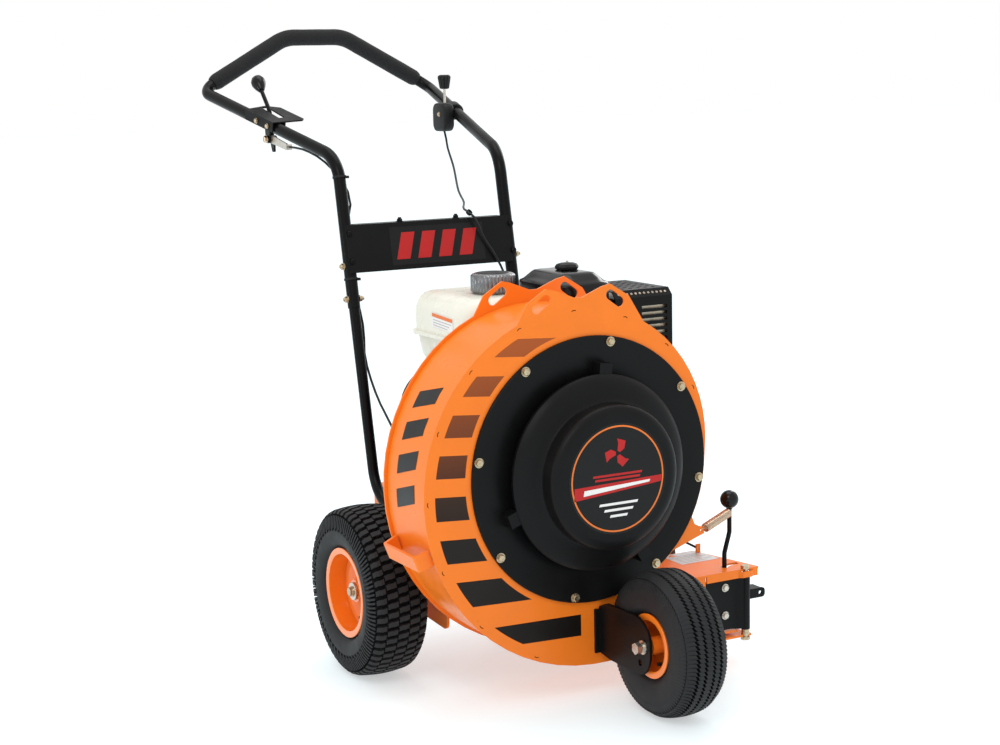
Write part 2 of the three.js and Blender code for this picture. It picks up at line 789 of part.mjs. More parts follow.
function fuelCap() {
  const centre = [CAP.x, CAP.y, TANK.high + 3 + GAP];
  const grips = [];
  const body = turned('z', centre, [[0, 0], [40, 0], [40, 33], [37, 36], [0, 37]], 24);
  for (let i = 0; i < 12; i += 1) {
    const angle = (Math.PI * i) / 6;
    const lobe = rod([40 * Math.cos(angle), 40 * Math.sin(angle), 2], [40 * Math.cos(angle),
      40 * Math.sin(angle), 32], 3.4, 6);
    grips.push(lobe.translate(centre));
  }
  return join(body, ...grips);
}

const CLEANER = { x0: 61, x1: 174, y0: 200, y1: 372, low: 640, high: 765 };

function airCleanerBase() {
  const c = CLEANER;
  const tray = plate('z', rounded([[c.x0, c.y0], [c.x1, c.y0], [c.x1, c.y1], [c.x0, c.y1]], 30),
    c.low, c.low + 14, 5);
  const elbow = box(124, 168, 250, 330, 566.4, c.low + 2);
  return join(tray, elbow);
}

function airCleanerCover() {
  const c = CLEANER;
  const footprint = (grow) => rounded([[c.x0 - grow, c.y0 - grow], [c.x1 + grow, c.y0 - grow],
    [c.x1 + grow, c.y1 + grow], [c.x0 - grow, c.y1 + grow]], 32);
  const low = c.low + 14 + GAP;
  const wall = plate('z', footprint(3), low, c.high - 24, 5);
  const shoulder = plate('z', footprint(-6), c.high - 25, c.high - 10, 5);
  const top = plate('z', footprint(-20), c.high - 11, c.high, 5);
  return join(wall, shoulder, top);
}

function airCleanerKnob() {
  const centre = [127, 286, CLEANER.high + GAP];
  const hub = turned('z', centre, [[0, 0], [23, 0], [24, 5], [18, 12], [0, 14]], 12);
  return join(hub, rod(centre, [127, 286, centre[2] + 20], 3, 8));
}

const MUFFLER = { x0: 183, x1: 315, y0: 200, y1: 372, low: 590, high: 724 };

function muffler() {
  const m = MUFFLER;
  const can = plate('y', rounded([[m.x0 + 8, m.low + 8], [m.x1 - 8, m.low + 8], [m.x1 - 8, m.high - 20],
    [m.x0 + 8, m.high - 20]], 26), m.y0 + 8, m.y1 - 8, 5);
  const pipe = rod([222, 300, 566.4], [222, 300, m.low + 12], 18, 16);
  return join(can, pipe);
}

// Folded sheet over the muffler: front, outer side and top, each with its rows of slots.
function mufflerGuard() {
  const m = MUFFLER;
  const skin = 2.5;
  const shell = cut(
    box(m.x0, m.x1, m.y0, m.y1, m.low, m.high),
    box(m.x0 - 5, m.x1 - skin, m.y0 + skin, m.y1 + 5, m.low - 5, m.high - skin),
  );
  const slots = [];
  for (let i = 0; i < 7; i += 1) {
    const z = m.low + 21 + 12.5 * i;
    slots.push(box(m.x1 - 71, m.x1 - 12, m.y0 - 5, m.y0 + 5, z, z + 6));
    slots.push(box(m.x1 - 5, m.x1 + 5, m.y0 + 30, m.y1 - 30, z, z + 6));
  }
  const bevel = 14;
  const corner = plate('x', [[m.y0 - 5, m.high - bevel - 5], [m.y0 + bevel + 5, m.high + 5],
    [m.y0 - 5, m.high + 5]], m.x0 - 5, m.x1 + 5);
  const slope = plate('x', [[m.y0, m.high - bevel - 3], [m.y0, m.high - bevel], [m.y0 + bevel, m.high],
    [m.y0 + bevel + 3, m.high]], m.x0, m.x1);
  return cut(join(cut(shell, corner), slope), ...slots);
}

function engineSwitch() {
  return join(
    rod([-152.4, 372, 412], [-158, 372, 412], 14, 16),
    box(-168, -157, 368, 376, 398, 426),
  );
}

function chokeLever() {
  return join(
    rod([128, 415, 605], [128, 415, 609], 9, 14),
    box(128, 168, 412, 418, 605, 609),
    box(160, 180, 408, 422, 603, 611),
  );
}

function oilCap() {
  return join(
    rod([-112.3, 250, 372], [-136, 250, 372], 15, 16),
    box(-146, -135, 247, 253, 360, 384),
  );
}

// ---- handle -------------------------------------------------------------------------------

const legY = (z) => LEG.topY - LEG.lean * (LEG.topZ - z);

function lowerLeg(side) {
  const x = CHASSIS_X + side * LEG.x;
  const route = [
    [x, 418, 292],
    [x, 520, 303],
    [x, legY(684 - GAP), 684 - GAP],
  ];
  return tube(bent(route, 85), 11, 12);
}

// A half route on the left, carried on to its mirror image on the right.
function acrossChassis(half) {
  return [...half, ...mirrorX(half).reverse()].map(([x, ...rest]) => [x + CHASSIS_X, ...rest]);
}

function upperHandle() {
  const half = [
    [LEG.x, legY(684), 684],
    [LEG.x, LEG.topY, LEG.topZ, LEG_BEND],
    [CORNER.x, CORNER.y, CORNER.z, CORNER_BEND],
    [TOP_BAR.x, TOP_BAR.y, TOP_BAR.z, TOP_BEND],
  ];
  const route = acrossChassis(half);
  return tube(bent(route, CORNER_BEND, 15), TUBE, 12);
}

// Foam sleeve over the slanted and level parts of the top bar.
function gripRoute(radius) {
  const corner = new THREE.Vector3(CORNER.x, CORNER.y, CORNER.z);
  const top = new THREE.Vector3(TOP_BAR.x, TOP_BAR.y, TOP_BAR.z);
  const start = corner.lerp(top, GRIP_START).toArray();
  const half = [start, top.toArray()];
  return bent(acrossChassis(half), radius, 15);
}

function foamGrip() {
  const vertices = gripRoute(TOP_BEND);
  return cut(tube(vertices, 16.5, 14), tube(extended(vertices), TUBE + 0.8, 12));
}

function extended(vertices) {
  const first = vertices[0].clone().multiplyScalar(2).sub(vertices[1]);
  const count = vertices.length;
  const last = vertices[count - 1].clone().multiplyScalar(2).sub(vertices[count - 2]);
  const reach = (end, near) => near.clone().add(end.clone().sub(near).setLength(6));
  return [reach(first, vertices[0]), ...vertices, reach(last, vertices[count - 1])];
}

const PANEL = { low: 755, high: 851, half: 188, offset: -4, standoff: 13.4 };

// Sheet bolted across the front of both legs, folded back between them at its top and bottom.
function crossPanel() {
  const { low, high, half, standoff } = PANEL;
  const centre = CHASSIS_X + PANEL.offset;
  const yLow = legY(low) - standoff;
  const yHigh = legY(high) - standoff;
  const face = plate('x', [[yLow - 3, low], [yLow, low], [yHigh, high], [yHigh - 3, high]],
    centre - half, centre + half);
  const inner = LEG.x - TUBE - 4;
  const top = box(CHASSIS_X - inner, CHASSIS_X + inner, yHigh - 2, yHigh + 24, high - 3, high);
  const bottom = box(CHASSIS_X - inner, CHASSIS_X + inner, yLow - 2, yLow + 24, low, low + 3);
  return join(face, top, bottom);
}

// Points on the straight side tube between the leg's bend and the rear corner.
function sidePoint(y, side) {
  const share = (y - LEG.topY) / (CORNER.y - LEG.topY);
  const x = LEG.x + share * (CORNER.x - LEG.x);
  const z = LEG.topZ + share * (CORNER.z - LEG.topZ);
  return new THREE.Vector3(CHASSIS_X + side * x, y, z);
}

const LEVER = { x: -216, pivotY: 944, pivotZ: 1019.5 };

// Saddle over the right side tube with a slotted table on its inner side.
function leverConsole() {
  const front = sidePoint(868, -1);
  const rear = sidePoint(974, -1);
  const yAxis = rear.clone().sub(front).normalize();
  const xAxis = new THREE.Vector3(1, 0, 0).addScaledVector(yAxis, -yAxis.x).normalize();
  const frame = new THREE.Matrix4().makeBasis(xAxis, yAxis, xAxis.clone().cross(yAxis)).setPosition(front);
  const length = rear.distanceTo(front);
  const r = TUBE + 0.5;
  const framed = (shape, low, high) => {
    const geometry = new THREE.ExtrudeGeometry(shape, { depth: high - low, bevelEnabled: false });
    geometry.translate(0, 0, low);
    geometry.applyMatrix4(frame);
    return solid(geometry);
  };
  const strip = (x0, x1, z0, z1) => framed(polygon([[x0, 0], [x1, 0], [x1, length], [x0, length]]), z0, z1);
  const table = framed(polygon([[-r - 3, 0], [58, 0], [66, 8], [66, length - 10], [40, length + 12],
    [-r - 3, length]]), r, r + 3);
  const slotX = LEVER.x - sidePoint(930, -1).x;
  const slot = framed(rounded([[slotX - 10, 28], [slotX + 5, 29], [slotX + 14, length + 3],
    [slotX - 2, length + 3]], 4), r - 5, r + 8);
  const { x, pivotY: y, pivotZ: z } = LEVER;
  const lug = plate('x', rounded([[y - 16, z + 53.5], [y + 18, z + 62], [y + 10, z - 9, 8], [y - 10, z - 9, 8]],
    2), x - 12, x - 8);
  return join(cut(table, slot), strip(-r - 3, -r, -6, r + 1), strip(r, r + 3, -20, r + 1), lug,
    leverPivot(), cableStay());
}

// Strap from the pivot forward to the clamp that holds the end of the cable's conduit.
function cableStay() {
  const { x, pivotY: y, pivotZ: z } = LEVER;
  const strap = plate('x', rounded([[y + 9, z - 9], [y + 9, z + 9], [y - 12, z + 9], [y - 96, z - 8],
    [y - 96, z - 22], [y - 12, z - 9]], 4), x - 8, x - 5.5);
  const clamp = box(x - 8, x + 4, y - 96, y - 90, z - 21, z - 10);
  const wire = rod([x, y - 110, z - 15.5], [x, y - 70, z - 15.5], 1.4, 8);
  return cut(join(strap, clamp), wire);
}

function leverPivot() {
  const { x, pivotY: y, pivotZ: z } = LEVER;
  return join(
    rod([x - 14, y, z], [x - 2.6, y, z], 7, 12),
    rod([x - 6, y, z], [x + 7, y, z], 4, 12),
    rod([x + 2.6, y, z], [x + 8, y, z], 7.5, 6),
  );
}

const LEVER_ROUTE = [
  [LEVER.x, LEVER.pivotY + 3, LEVER.pivotZ + 8],
  [LEVER.x, LEVER.pivotY + 8, LEVER.pivotZ + 56],
  [LEVER.x, LEVER.pivotY + 54, LEVER.pivotZ + 103],
];

function gateLever() {
  const { x, pivotY: y, pivotZ: z } = LEVER;
  const arm = plate('x', rounded([[y - 10, z - 28], [y + 1, z - 28], [y + 12, z - 4], [y + 13, z + 16],
    [y + 1, z + 16], [y - 10, z + 2]], 4), x - 2, x + 2);
  const stem = tube(bent(LEVER_ROUTE, 45), 4.5, 10);
  const bore = rod([x - 30, y, z], [x + 30, y, z], 4.4, 12);
  const eye = rod([x - 30, y - 4, z - 22], [x + 30, y - 4, z - 22], 2, 8);
  return cut(join(arm, stem), bore, eye);
}

function leverKnob() {
  const base = new THREE.Vector3(...LEVER_ROUTE[2]);
  const along = base.clone().sub(new THREE.Vector3(...LEVER_ROUTE[1])).normalize();
  const profile = [[0, 0], [7, 0.5], [9, 4], [12, 10], [15.5, 20], [15.5, 28], [12, 36], [6, 40.5], [0, 42]];
  const geometry = new THREE.LatheGeometry(profile.map(([r, a]) => new THREE.Vector2(r, a)), 18);
  geometry.applyQuaternion(new THREE.Quaternion().setFromUnitVectors(new THREE.Vector3(0, 1, 0), along));
  geometry.translate(...base.addScaledVector(along, GAP).toArray());
  return solid(geometry);
}

const THROTTLE = { x: 214, y: 966, z: 1056 };

// Control housing on the inner side of the left side tube, held by a clamp round the tube.
function throttleBox() {
  const { x, y, z } = THROTTLE;
  const body = plate('x', rounded([[y - 30, z - 34, 12], [y + 32, z - 30, 16], [y + 32, z + 26, 10],
    [y - 30, z + 22, 10]], 6), x - 10, x + 9.5);
  const side = sidePoint(y, 1);
  const clamp = box(x + 6, side.x + 14.5, y - 17, y + 17, side.z - 18, side.z + 18);
  const bore = rod(sidePoint(y - 70, 1).toArray(), sidePoint(y + 70, 1).toArray(), TUBE + 0.4, 16);
  const slot = box(x - 5, x + 5, y - 24, y + 24, z - 12, z + 60);
  return cut(join(body, clamp), bore, slot);
}

function throttleStem() {
  const { x, y, z } = THROTTLE;
  const disc = rod([x - 4, y, z - 1], [x + 4, y, z - 1], 9, 16);
  const stem = rod([x, y, z], [x, y, z + 60], 3, 8);
  return join(disc, stem);
}

function throttleKnob() {
  const { x, y, z } = THROTTLE;
  const centre = [x, y, z + 60 + GAP];
  const profile = [[0, 0], [9, 0], [15, 6], [15, 27], [12, 31], [0, 32]];
  return turned('z', centre, profile, 16);
}

// ---- control cables -----------------------------------------------------------------------

function cable(points, radius) {
  const curve = new THREE.CatmullRomCurve3(points.map((point) => new THREE.Vector3(...point)), false,
    'centripetal');
  const steps = Math.min(56, Math.max(8, Math.round(curve.getLength() / (8 * radius))));
  return tube(curve.getSpacedPoints(steps), radius, 8);
}

const THROTTLE_CABLE = [
  [214, 972, 1022.5],
  [213, 962, 1005],
  [200, 930, 985],
  [187, 880, 948],
  [137, 760, 898],
  [113, 690, 878],
  [86, 640, 868],
  [84, 612, 862],
  [92, 600, 850],
  [108, 598, 812],
  [132, 592, 772],
  [150, 586, 732],
  [150, 560, 690],
  [138, 500, 640],
  [128, 462, 604],
  [120, 442, 596],
];

const GATE_CABLE = [
  [-216, 847.5, 1004],
  [-215, 830, 1003],
  [-213, 800, 1002],
  [-203, 730, 986],
  [-190, 690, 962],
  [-174, 664, 930],
  [-174, 644, 905],
  [-176, 636, 880],
  [-182, 652, 840],
  [-182, 652, 760],
  [-176, 620, 700],
  [-177, 589, 640],
  [-178, 585, 585],
  [-176, 540, 512],
  [-172, 480, 455],
  [-168, 420, 390],
  [-164, 350, 345],
  [-160, 250, 334],
  [-140, 196, 331],
  [-90, 188, 330],
  [60, 188, 330],
  [150, 187, 331],
  [188, 186, 328],
  [222, 185, 298],
  [266, 183, 256],
  [306, 180, 226],
  [328, 168, 209],
  [337, 150.8, 203.4],
];

// ---- assembly -----------------------------------------------------------------------------

const blower = new THREE.Group();
blower.name = 'walk_behind_leaf_blower';

function add(name, manifold, material) {
  const mesh = new THREE.Mesh(toGeometry(manifold), material);
  mesh.name = name;
  blower.add(mesh);
}

add('front_plate', frontPlate(), ORANGE);
add('back_plate', backPlate(), ORANGE);
add('scroll_band', scrollBand(), ORANGE);
add('cover_plate', coverPlate(), BLACK);
add('inlet_guard', inletGuard(), STEEL);
add('intake_dish', intakeDish(), BLACK);
add('tie_down_loop', tieDownLoop(), ORANGE);

add('discharge_top', topPlate(), ORANGE);
add('discharge_floor', floorPlate(), ORANGE);
add('gate_pin', gatePin(), STEEL);
add('gate_panel', gatePanel(), BLACK);
add('gate_arm', gateArm(), BLACK);
add('gate_rod', gateRod(), BLACK);
add('gate_ball', gateBall(), PLASTIC);
add('gate_spring', gateSpring(), STEEL);

add('engine_deck', engineDeck(), ORANGE);
add('axle_bracket_right', axleBracket(-1), ORANGE);
add('axle_bracket_left', axleBracket(1), ORANGE);
add('rear_axle', rearAxle(), STEEL);
add('fork_plate_right', forkPlate(-1), BLACK);
add('fork_plate_left', forkPlate(1), BLACK);
add('front_axle', frontAxle(), STEEL);

for (const [name, side] of [['right', -1], ['left', 1]]) {
  const w = REAR_WHEEL;
  const centre = [CHASSIS_X + side * w.x, AXLE.y, AXLE.z];
  add(`rear_tyre_${name}`, tyre(centre, w.radius, w.width, w.rim, 22, 28), RUBBER);
  add(`rear_rim_${name}`, rimDisc(centre, w.rim, w.width, REAR_HUB, AXLE.radius + 0.4, 28), ORANGE);
}
const frontCentre = [FRONT_WHEEL.x, FRONT_WHEEL.y, FRONT_WHEEL.radius];
add('front_tyre', tyre(frontCentre, FRONT_WHEEL.radius, FRONT_WHEEL.width, FRONT_WHEEL.rim, 20, 28), RUBBER);
add('front_rim', rimDisc(frontCentre, FRONT_WHEEL.rim, FRONT_WHEEL.width, FRONT_HUB, 8.4, 28), ORANGE);

add('impeller', impeller(), STEEL);
add('crankshaft', crankshaft(), STEEL);

add('crankcase', crankcase(), ALUMINIUM);
add('cylinder_head', cylinderHead(), ALUMINIUM);
add('fan_shroud', fanShroud(), DARK);
add('recoil_cover', join(recoilCover(), recoilBoss()), DARK);
add('recoil_handle', recoilHandle(), PLASTIC);
add('fuel_tank', fuelTank(), CREAM);
add('fuel_cap', fuelCap(), STEEL);
add('air_cleaner_base', airCleanerBase(), PLASTIC);
add('air_cleaner_cover', airCleanerCover(), PLASTIC);
add('air_cleaner_knob', airCleanerKnob(), PLASTIC);
add('muffler', muffler(), STEEL);
add('muffler_guard', mufflerGuard(), BLACK);
add('engine_switch', engineSwitch(), PLASTIC);
add('choke_lever', chokeLever(), PLASTIC);
add('oil_cap', oilCap(), PLASTIC);

add('lower_leg_right', lowerLeg(-1), BLACK);
add('lower_leg_left', lowerLeg(1), BLACK);
add('upper_handle', upperHandle(), BLACK);
add('foam_grip', foamGrip(), FOAM);
add('cross_panel', crossPanel(), DARK);
add('lever_console', leverConsole(), BLACK);
add('gate_lever', gateLever(), BLACK);
add('lever_knob', leverKnob(), PLASTIC);
add('throttle_box', throttleBox(), PLASTIC);
add('throttle_stem', throttleStem(), STEEL);
add('throttle_knob', throttleKnob(), PLASTIC);
add('throttle_cable', cable(THROTTLE_CABLE, 2.5), PLASTIC);
add('gate_cable', cable(GATE_CABLE, 2.5), PLASTIC);

blower.position.set(-CENTRE.x, -CENTRE.y, 0);

export default blower;
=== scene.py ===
"""Looks for a walk-behind leaf blower: fine tyres, shells, hardware, labels and materials.

Shapes are drawn in millimetres about the crankshaft's line (x = 0) and the front plate's face
(y = 0), with z up from the floor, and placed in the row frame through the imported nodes.
"""
import bpy
import bmesh
import math
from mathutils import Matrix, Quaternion, Vector, noise


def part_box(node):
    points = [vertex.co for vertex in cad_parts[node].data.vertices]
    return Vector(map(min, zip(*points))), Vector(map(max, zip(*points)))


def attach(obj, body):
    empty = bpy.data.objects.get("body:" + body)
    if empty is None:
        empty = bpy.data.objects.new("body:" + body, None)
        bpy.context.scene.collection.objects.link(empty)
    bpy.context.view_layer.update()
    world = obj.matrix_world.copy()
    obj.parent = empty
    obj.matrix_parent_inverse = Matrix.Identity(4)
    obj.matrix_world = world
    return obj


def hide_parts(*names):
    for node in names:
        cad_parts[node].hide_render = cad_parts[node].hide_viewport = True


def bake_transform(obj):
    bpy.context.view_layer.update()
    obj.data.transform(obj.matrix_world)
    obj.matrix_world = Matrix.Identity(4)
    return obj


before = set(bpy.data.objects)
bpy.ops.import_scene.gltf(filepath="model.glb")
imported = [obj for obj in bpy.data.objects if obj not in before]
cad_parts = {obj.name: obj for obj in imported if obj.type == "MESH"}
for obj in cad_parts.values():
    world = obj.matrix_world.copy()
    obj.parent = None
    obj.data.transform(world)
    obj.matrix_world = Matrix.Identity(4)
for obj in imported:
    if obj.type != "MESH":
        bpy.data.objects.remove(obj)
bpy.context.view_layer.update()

scene = bpy.context.scene
MM = 0.001
COVER_LOW, COVER_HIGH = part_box("cover_plate")
CRANK_X = (COVER_LOW.x + COVER_HIGH.x) / 2
CRANK_Z = (COVER_LOW.z + COVER_HIGH.z) / 2 / MM
FACE_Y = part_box("front_plate")[0].y

SCROLL = {"start": 251, "slope": 0.6, "curl": 0.00062}
BAND_INSET = 6
COVER_R = 246.6
BOLT_CIRCLE = 236.7
DISH = {"radius": 180, "dome": 132, "depth": 92, "wall": 3.5}
CHASSIS_X = -6
REAR_TYRE = {"radius": 165, "width": 118, "rim": 88, "shoulder": 22}
FRONT_TYRE = {"radius": 133.4, "width": 93, "rim": 59.5, "shoulder": 20}


# ---- places and meshes ----

def at(x, y, z):
    return Vector((CRANK_X + x * MM, FACE_Y + y * MM, z * MM))


def node_box(node):
    """Lowest and highest corner of a CAD node in the drawing's millimetres."""
    low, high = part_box(node)
    origin = at(0, 0, 0)
    return (low - origin) / MM, (high - origin) / MM


def node_centre(node):
    low, high = node_box(node)
    return (low + high) / 2


class Shape:
    """Vertices and faces that become one piece; tint picks one of its materials."""

    def __init__(self):
        self.verts = []
        self.faces = []
        self.tints = []

    def add(self, verts, faces, tint=0):
        base = len(self.verts)
        self.verts += [tuple(v) for v in verts]
        self.faces += [tuple(base + i for i in face) for face in faces]
        self.tints += [tint] * len(faces)


def shade(mesh, degrees):
    mesh.polygons.foreach_set("use_smooth", [True] * len(mesh.polygons))
    mesh.set_sharp_from_angle(angle=math.radians(degrees))


def piece(name, shape, materials, body="chassis", stands_for=(), smooth=35):
    mesh = bpy.data.meshes.new(name)
    mesh.from_pydata([at(*v) for v in shape.verts], [], shape.faces)
    for material in materials if isinstance(materials, list) else [materials]:
        mesh.materials.append(material)
    mesh.polygons.foreach_set("material_index", shape.tints)
    work = bmesh.new()
    work.from_mesh(mesh)
    bmesh.ops.recalc_face_normals(work, faces=work.faces)
    work.to_mesh(mesh)
    work.free()
    shade(mesh, smooth)
    obj = bpy.data.objects.new(name, mesh)
    scene.collection.objects.link(obj)
    if body:
        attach(obj, body)
    if stands_for:
        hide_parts(*stands_for)
    return obj


def axes_about(direction):
    along = Vector(direction).normalized()
    across = along.orthogonal().normalized()
    return along, across, along.cross(across)


def turned(shape, centre, direction, profile, sides=48, tint=0, turn=0.0):
    """Solid of revolution: profile points are (radius, distance along direction)."""
    along, across, third = axes_about(direction)
    centre = Vector(centre)
    verts = []
    rows = []
    for radius, distance in profile:
        middle = centre + along * distance
        if radius < 1e-6:
            rows.append([len(verts)] * sides)
            verts.append(middle)
            continue
        rows.append(list(range(len(verts), len(verts) + sides)))
        for i in range(sides):
            angle = turn + 2 * math.pi * i / sides
            verts.append(middle + (across * math.cos(angle) + third * math.sin(angle)) * radius)
    faces = []
    for low, high in zip(rows, rows[1:]):
        for i in range(sides):
            j = (i + 1) % sides
            face = list(dict.fromkeys((low[i], low[j], high[j], high[i])))
            if len(face) > 2:
                faces.append(face)
    if profile[0] == profile[-1]:
        last = rows[-1]
        alias = dict(zip(last, rows[0]))
        faces = [[alias.get(i, i) for i in face] for face in faces]
        verts = verts[:last[0]]
    shape.add(verts, faces, tint)


def swept(shape, path, radius, sides=16, tint=0, caps=True):
    """Round bar along a path of points."""
    points = [Vector(p) for p in path]
    radii = radius if isinstance(radius, list) else [radius] * len(points)
    tangents = []
    for i in range(len(points)):
        before, after = points[max(i - 1, 0)], points[min(i + 1, len(points) - 1)]
        tangents.append((after - before).normalized())
    side = tangents[0].orthogonal().normalized()
    verts = []
    for point, tangent, size in zip(points, tangents, radii):
        side = (side - tangent * side.dot(tangent)).normalized()
        other = tangent.cross(side)
        for i in range(sides):
            angle = 2 * math.pi * i / sides
            verts.append(point + (side * math.cos(angle) + other * math.sin(angle)) * size)
    faces = []
    for ring in range(len(points) - 1):
        for i in range(sides):
            j = (i + 1) % sides
            faces.append([ring * sides + i, ring * sides + j, (ring + 1) * sides + j, (ring + 1) * sides + i])
    if caps:
        faces.append(list(range(sides)))
        faces.append(list(range(len(verts) - sides, len(verts))))
    shape.add(verts, faces, tint)


def prism(shape, base, top, tint=0):
    """Joins two outlines of the same number of points and closes both."""
    count = len(base)
    faces = [list(range(count)), list(range(count, 2 * count))]
    faces += [[i, (i + 1) % count, count + (i + 1) % count, count + i] for i in range(count)]
    shape.add(list(base) + list(top), faces, tint)


def printed(shape, outline, lift, tint=0):
    """Thin print or plate: an outline and its copy moved by lift."""
    prism(shape, outline, [tuple(a + b for a, b in zip(point, lift)) for point in outline], tint)


def lofted(shape, loops, tint=0):
    """Skin over a row of loops with the same number of points, closed at both ends."""
    count = len(loops[0])
    verts = [v for loop in loops for v in loop]
    faces = [list(range(count)), list(range(len(verts) - count, len(verts)))]
    for row in range(len(loops) - 1):
        for i in range(count):
            j = (i + 1) % count
            faces.append([row * count + i, row * count + j, (row + 1) * count + j, (row + 1) * count + i])
    shape.add(verts, faces, tint)


def fluted(shape, centre, levels, count, reach):
    """Upright knob: levels are (radius, z), and reach(radius, i, angle) gives each point's radius."""
    loops = []
    for radius, z in levels:
        loop = []
        for i in range(count):
            angle = 2 * math.pi * i / count
            r = reach(radius, i, angle)
            loop.append((centre.x + r * math.cos(angle), centre.y + r * math.sin(angle), z))
        loops.append(loop)
    lofted(shape, loops)


def ring_profile(inner, outer, low, high):
    return [(inner, low), (outer, low), (outer, high), (inner, high), (inner, low)]


def block(shape, x0, x1, y0, y1, z0, z1, tint=0):
    base = [(x0, y0, z0), (x1, y0, z0), (x1, y1, z0), (x0, y1, z0)]
    prism(shape, base, [(x, y, z1) for x, y, _ in base], tint)


def smooth_curve(points, steps):
    """Catmull-Rom curve through the points."""
    points = [Vector(p) for p in points]
    ends = [points[0] * 2 - points[1], *points, points[-1] * 2 - points[-2]]
    curve = []
    for a, b, c, d in zip(ends, ends[1:], ends[2:], ends[3:]):
        for i in range(steps):
            t = i / steps
            curve.append(0.5 * (2 * b + (c - a) * t + (2 * a - 5 * b + 4 * c - d) * t * t
                                + (3 * b - a - 3 * c + d) * t ** 3))
    curve.append(points[-1])
    return curve


def bent(points, usual, steps=10):
    """Straight runs with an arc at each inner corner; a fourth number is the corner's radius."""
    route = [Vector(p[:3]) for p in points]
    path = [route[0]]
    for i in range(1, len(route) - 1):
        radius = points[i][3] if len(points[i]) > 3 else usual
        back = (route[i - 1] - route[i]).normalized()
        ahead = (route[i + 1] - route[i]).normalized()
        half = back.angle(ahead) / 2
        reach = radius / math.tan(half)
        middle = route[i] + (back + ahead).normalized() * (radius / math.sin(half))
        start = route[i] + back * reach - middle
        end = route[i] + ahead * reach - middle
        for k in range(steps + 1):
            path.append(middle + start.slerp(end, k / steps).normalized() * radius)
    path.append(route[-1])
    return path


def rounded_rect(x0, x1, y0, y1, radius, steps=6):
    loop = []
    corners = [(x1, y1, 0), (x0, y1, 90), (x0, y0, 180), (x1, y0, 270)]
    for x, y, start in corners:
        cx = x - radius if x == x1 else x + radius
        cy = y - radius if y == y1 else y + radius
        for i in range(steps + 1):
            angle = math.radians(start + 90 * i / steps)
            loop.append((cx + radius * math.cos(angle), cy + radius * math.sin(angle)))
    return loop


def hex_bolt(shape, seat, direction, across=13, height=6, washer=9.5, stud=0):
    """Washer and hexagon head, with the end of its thread standing out by stud."""
    turned(shape, seat, direction, [(0, 0), (washer, 0), (washer, 1.2), (0, 1.2)], 24)
    flat = across / math.sqrt(3)
    head = [(0, 1.2), (flat, 1.2), (flat, height - 0.8), (flat - 1.2, height), (0, height)]
    turned(shape, seat, direction, head, 6, turn=0.3)
    if stud:
        end = [(0, height), (3.6, height), (3.6, height + stud), (0, height + stud)]
        turned(shape, seat, direction, end, 14)


# ---- materials ----

def feed(tree, node, values):
    """Sets each named input of a node to a value, or links it from another node's socket."""
    for name, value in values.items():
        if isinstance(value, bpy.types.NodeSocket):
            tree.links.new(value, node.inputs[name])
        else:
            node.inputs[name].default_value = value
    return node


def finish(name, colour, roughness, metallic=0.0, coat=0.0, mottle=0.05, mottle_size=60,
           grain=0.0, grain_size=1.0, brushed=None, edge=0.6, sheen=0.0, specular=0.5):
    """Surface whose tone and gloss vary softly, with a fine grain and softened edges; sizes in mm."""
    material = bpy.data.materials.new(name)
    material.use_nodes = True
    tree = material.node_tree
    place = tree.nodes.new("ShaderNodeTexCoord").outputs["Object"]

    def add(kind, values):
        return feed(tree, tree.nodes.new("ShaderNode" + kind), values)

    broad = add("TexNoise", {"Vector": place, "Scale": 1000 / mottle_size, "Detail": 3}).outputs["Fac"]
    tone = add("ValToRGB", {"Fac": broad})
    for element, position, share in zip(tone.color_ramp.elements, (0.3, 0.7), (1 - mottle, 1 + mottle)):
        element.position = position
        element.color = [*[min(1, c * share) for c in colour], 1]
    spread = min(0.08, roughness * 0.25)
    gloss = add("MapRange", {"Value": broad, "From Min": 0.3, "From Max": 0.7, "To Min": roughness - spread,
                             "To Max": roughness + spread})
    bevel = add("Bevel", {"Radius": edge * MM})
    bevel.samples = 4
    normal = bevel.outputs["Normal"]
    if grain:
        spot = add("Mapping", {"Vector": place, "Scale": brushed}).outputs["Vector"] if brushed else place
        texture = add("TexNoise", {"Vector": spot, "Scale": 1000 / grain_size, "Detail": 2}).outputs["Fac"]
        normal = add("Bump", {"Strength": 1.0, "Distance": grain * MM, "Height": texture,
                              "Normal": normal}).outputs["Normal"]
    feed(tree, tree.nodes["Principled BSDF"], {
        "Base Color": tone.outputs["Color"], "Roughness": gloss.outputs["Result"], "Normal": normal,
        "Metallic": metallic, "Coat Weight": coat, "Coat Roughness": 0.08, "Sheen Weight": sheen,
        "Specular IOR Level": specular})
    return material


def fading_print():
    """Print on the front plate: brown-orange at the top of the housing, black at its foot."""
    material = finish("print_fade", (0.2, 0.08, 0.02), 0.34, mottle=0.03, specular=0.2)
    tree = material.node_tree
    place = tree.nodes.new("ShaderNodeTexCoord").outputs["Object"]
    height = tree.nodes.new("ShaderNodeSeparateXYZ")
    ramp = tree.nodes.new("ShaderNodeValToRGB")
    tree.links.new(place, height.inputs["Vector"])
    tree.links.new(height.outputs["Z"], ramp.inputs["Fac"])
    stops = [(0.15, (0.006, 0.004, 0.003)), (0.34, (0.010, 0.006, 0.004)), (0.41, (0.030, 0.012, 0.006)),
             (0.54, (0.18, 0.042, 0.010)), (0.67, (0.36, 0.078, 0.014))]
    for position, colour in stops[2:]:
        ramp.color_ramp.elements.new(position)
    for element, (position, colour) in zip(ramp.color_ramp.elements, stops):
        element.position = position
        element.color = (*colour, 1)
    tree.links.new(ramp.outputs["Color"], tree.nodes["Principled BSDF"].inputs["Base Color"])
    return material


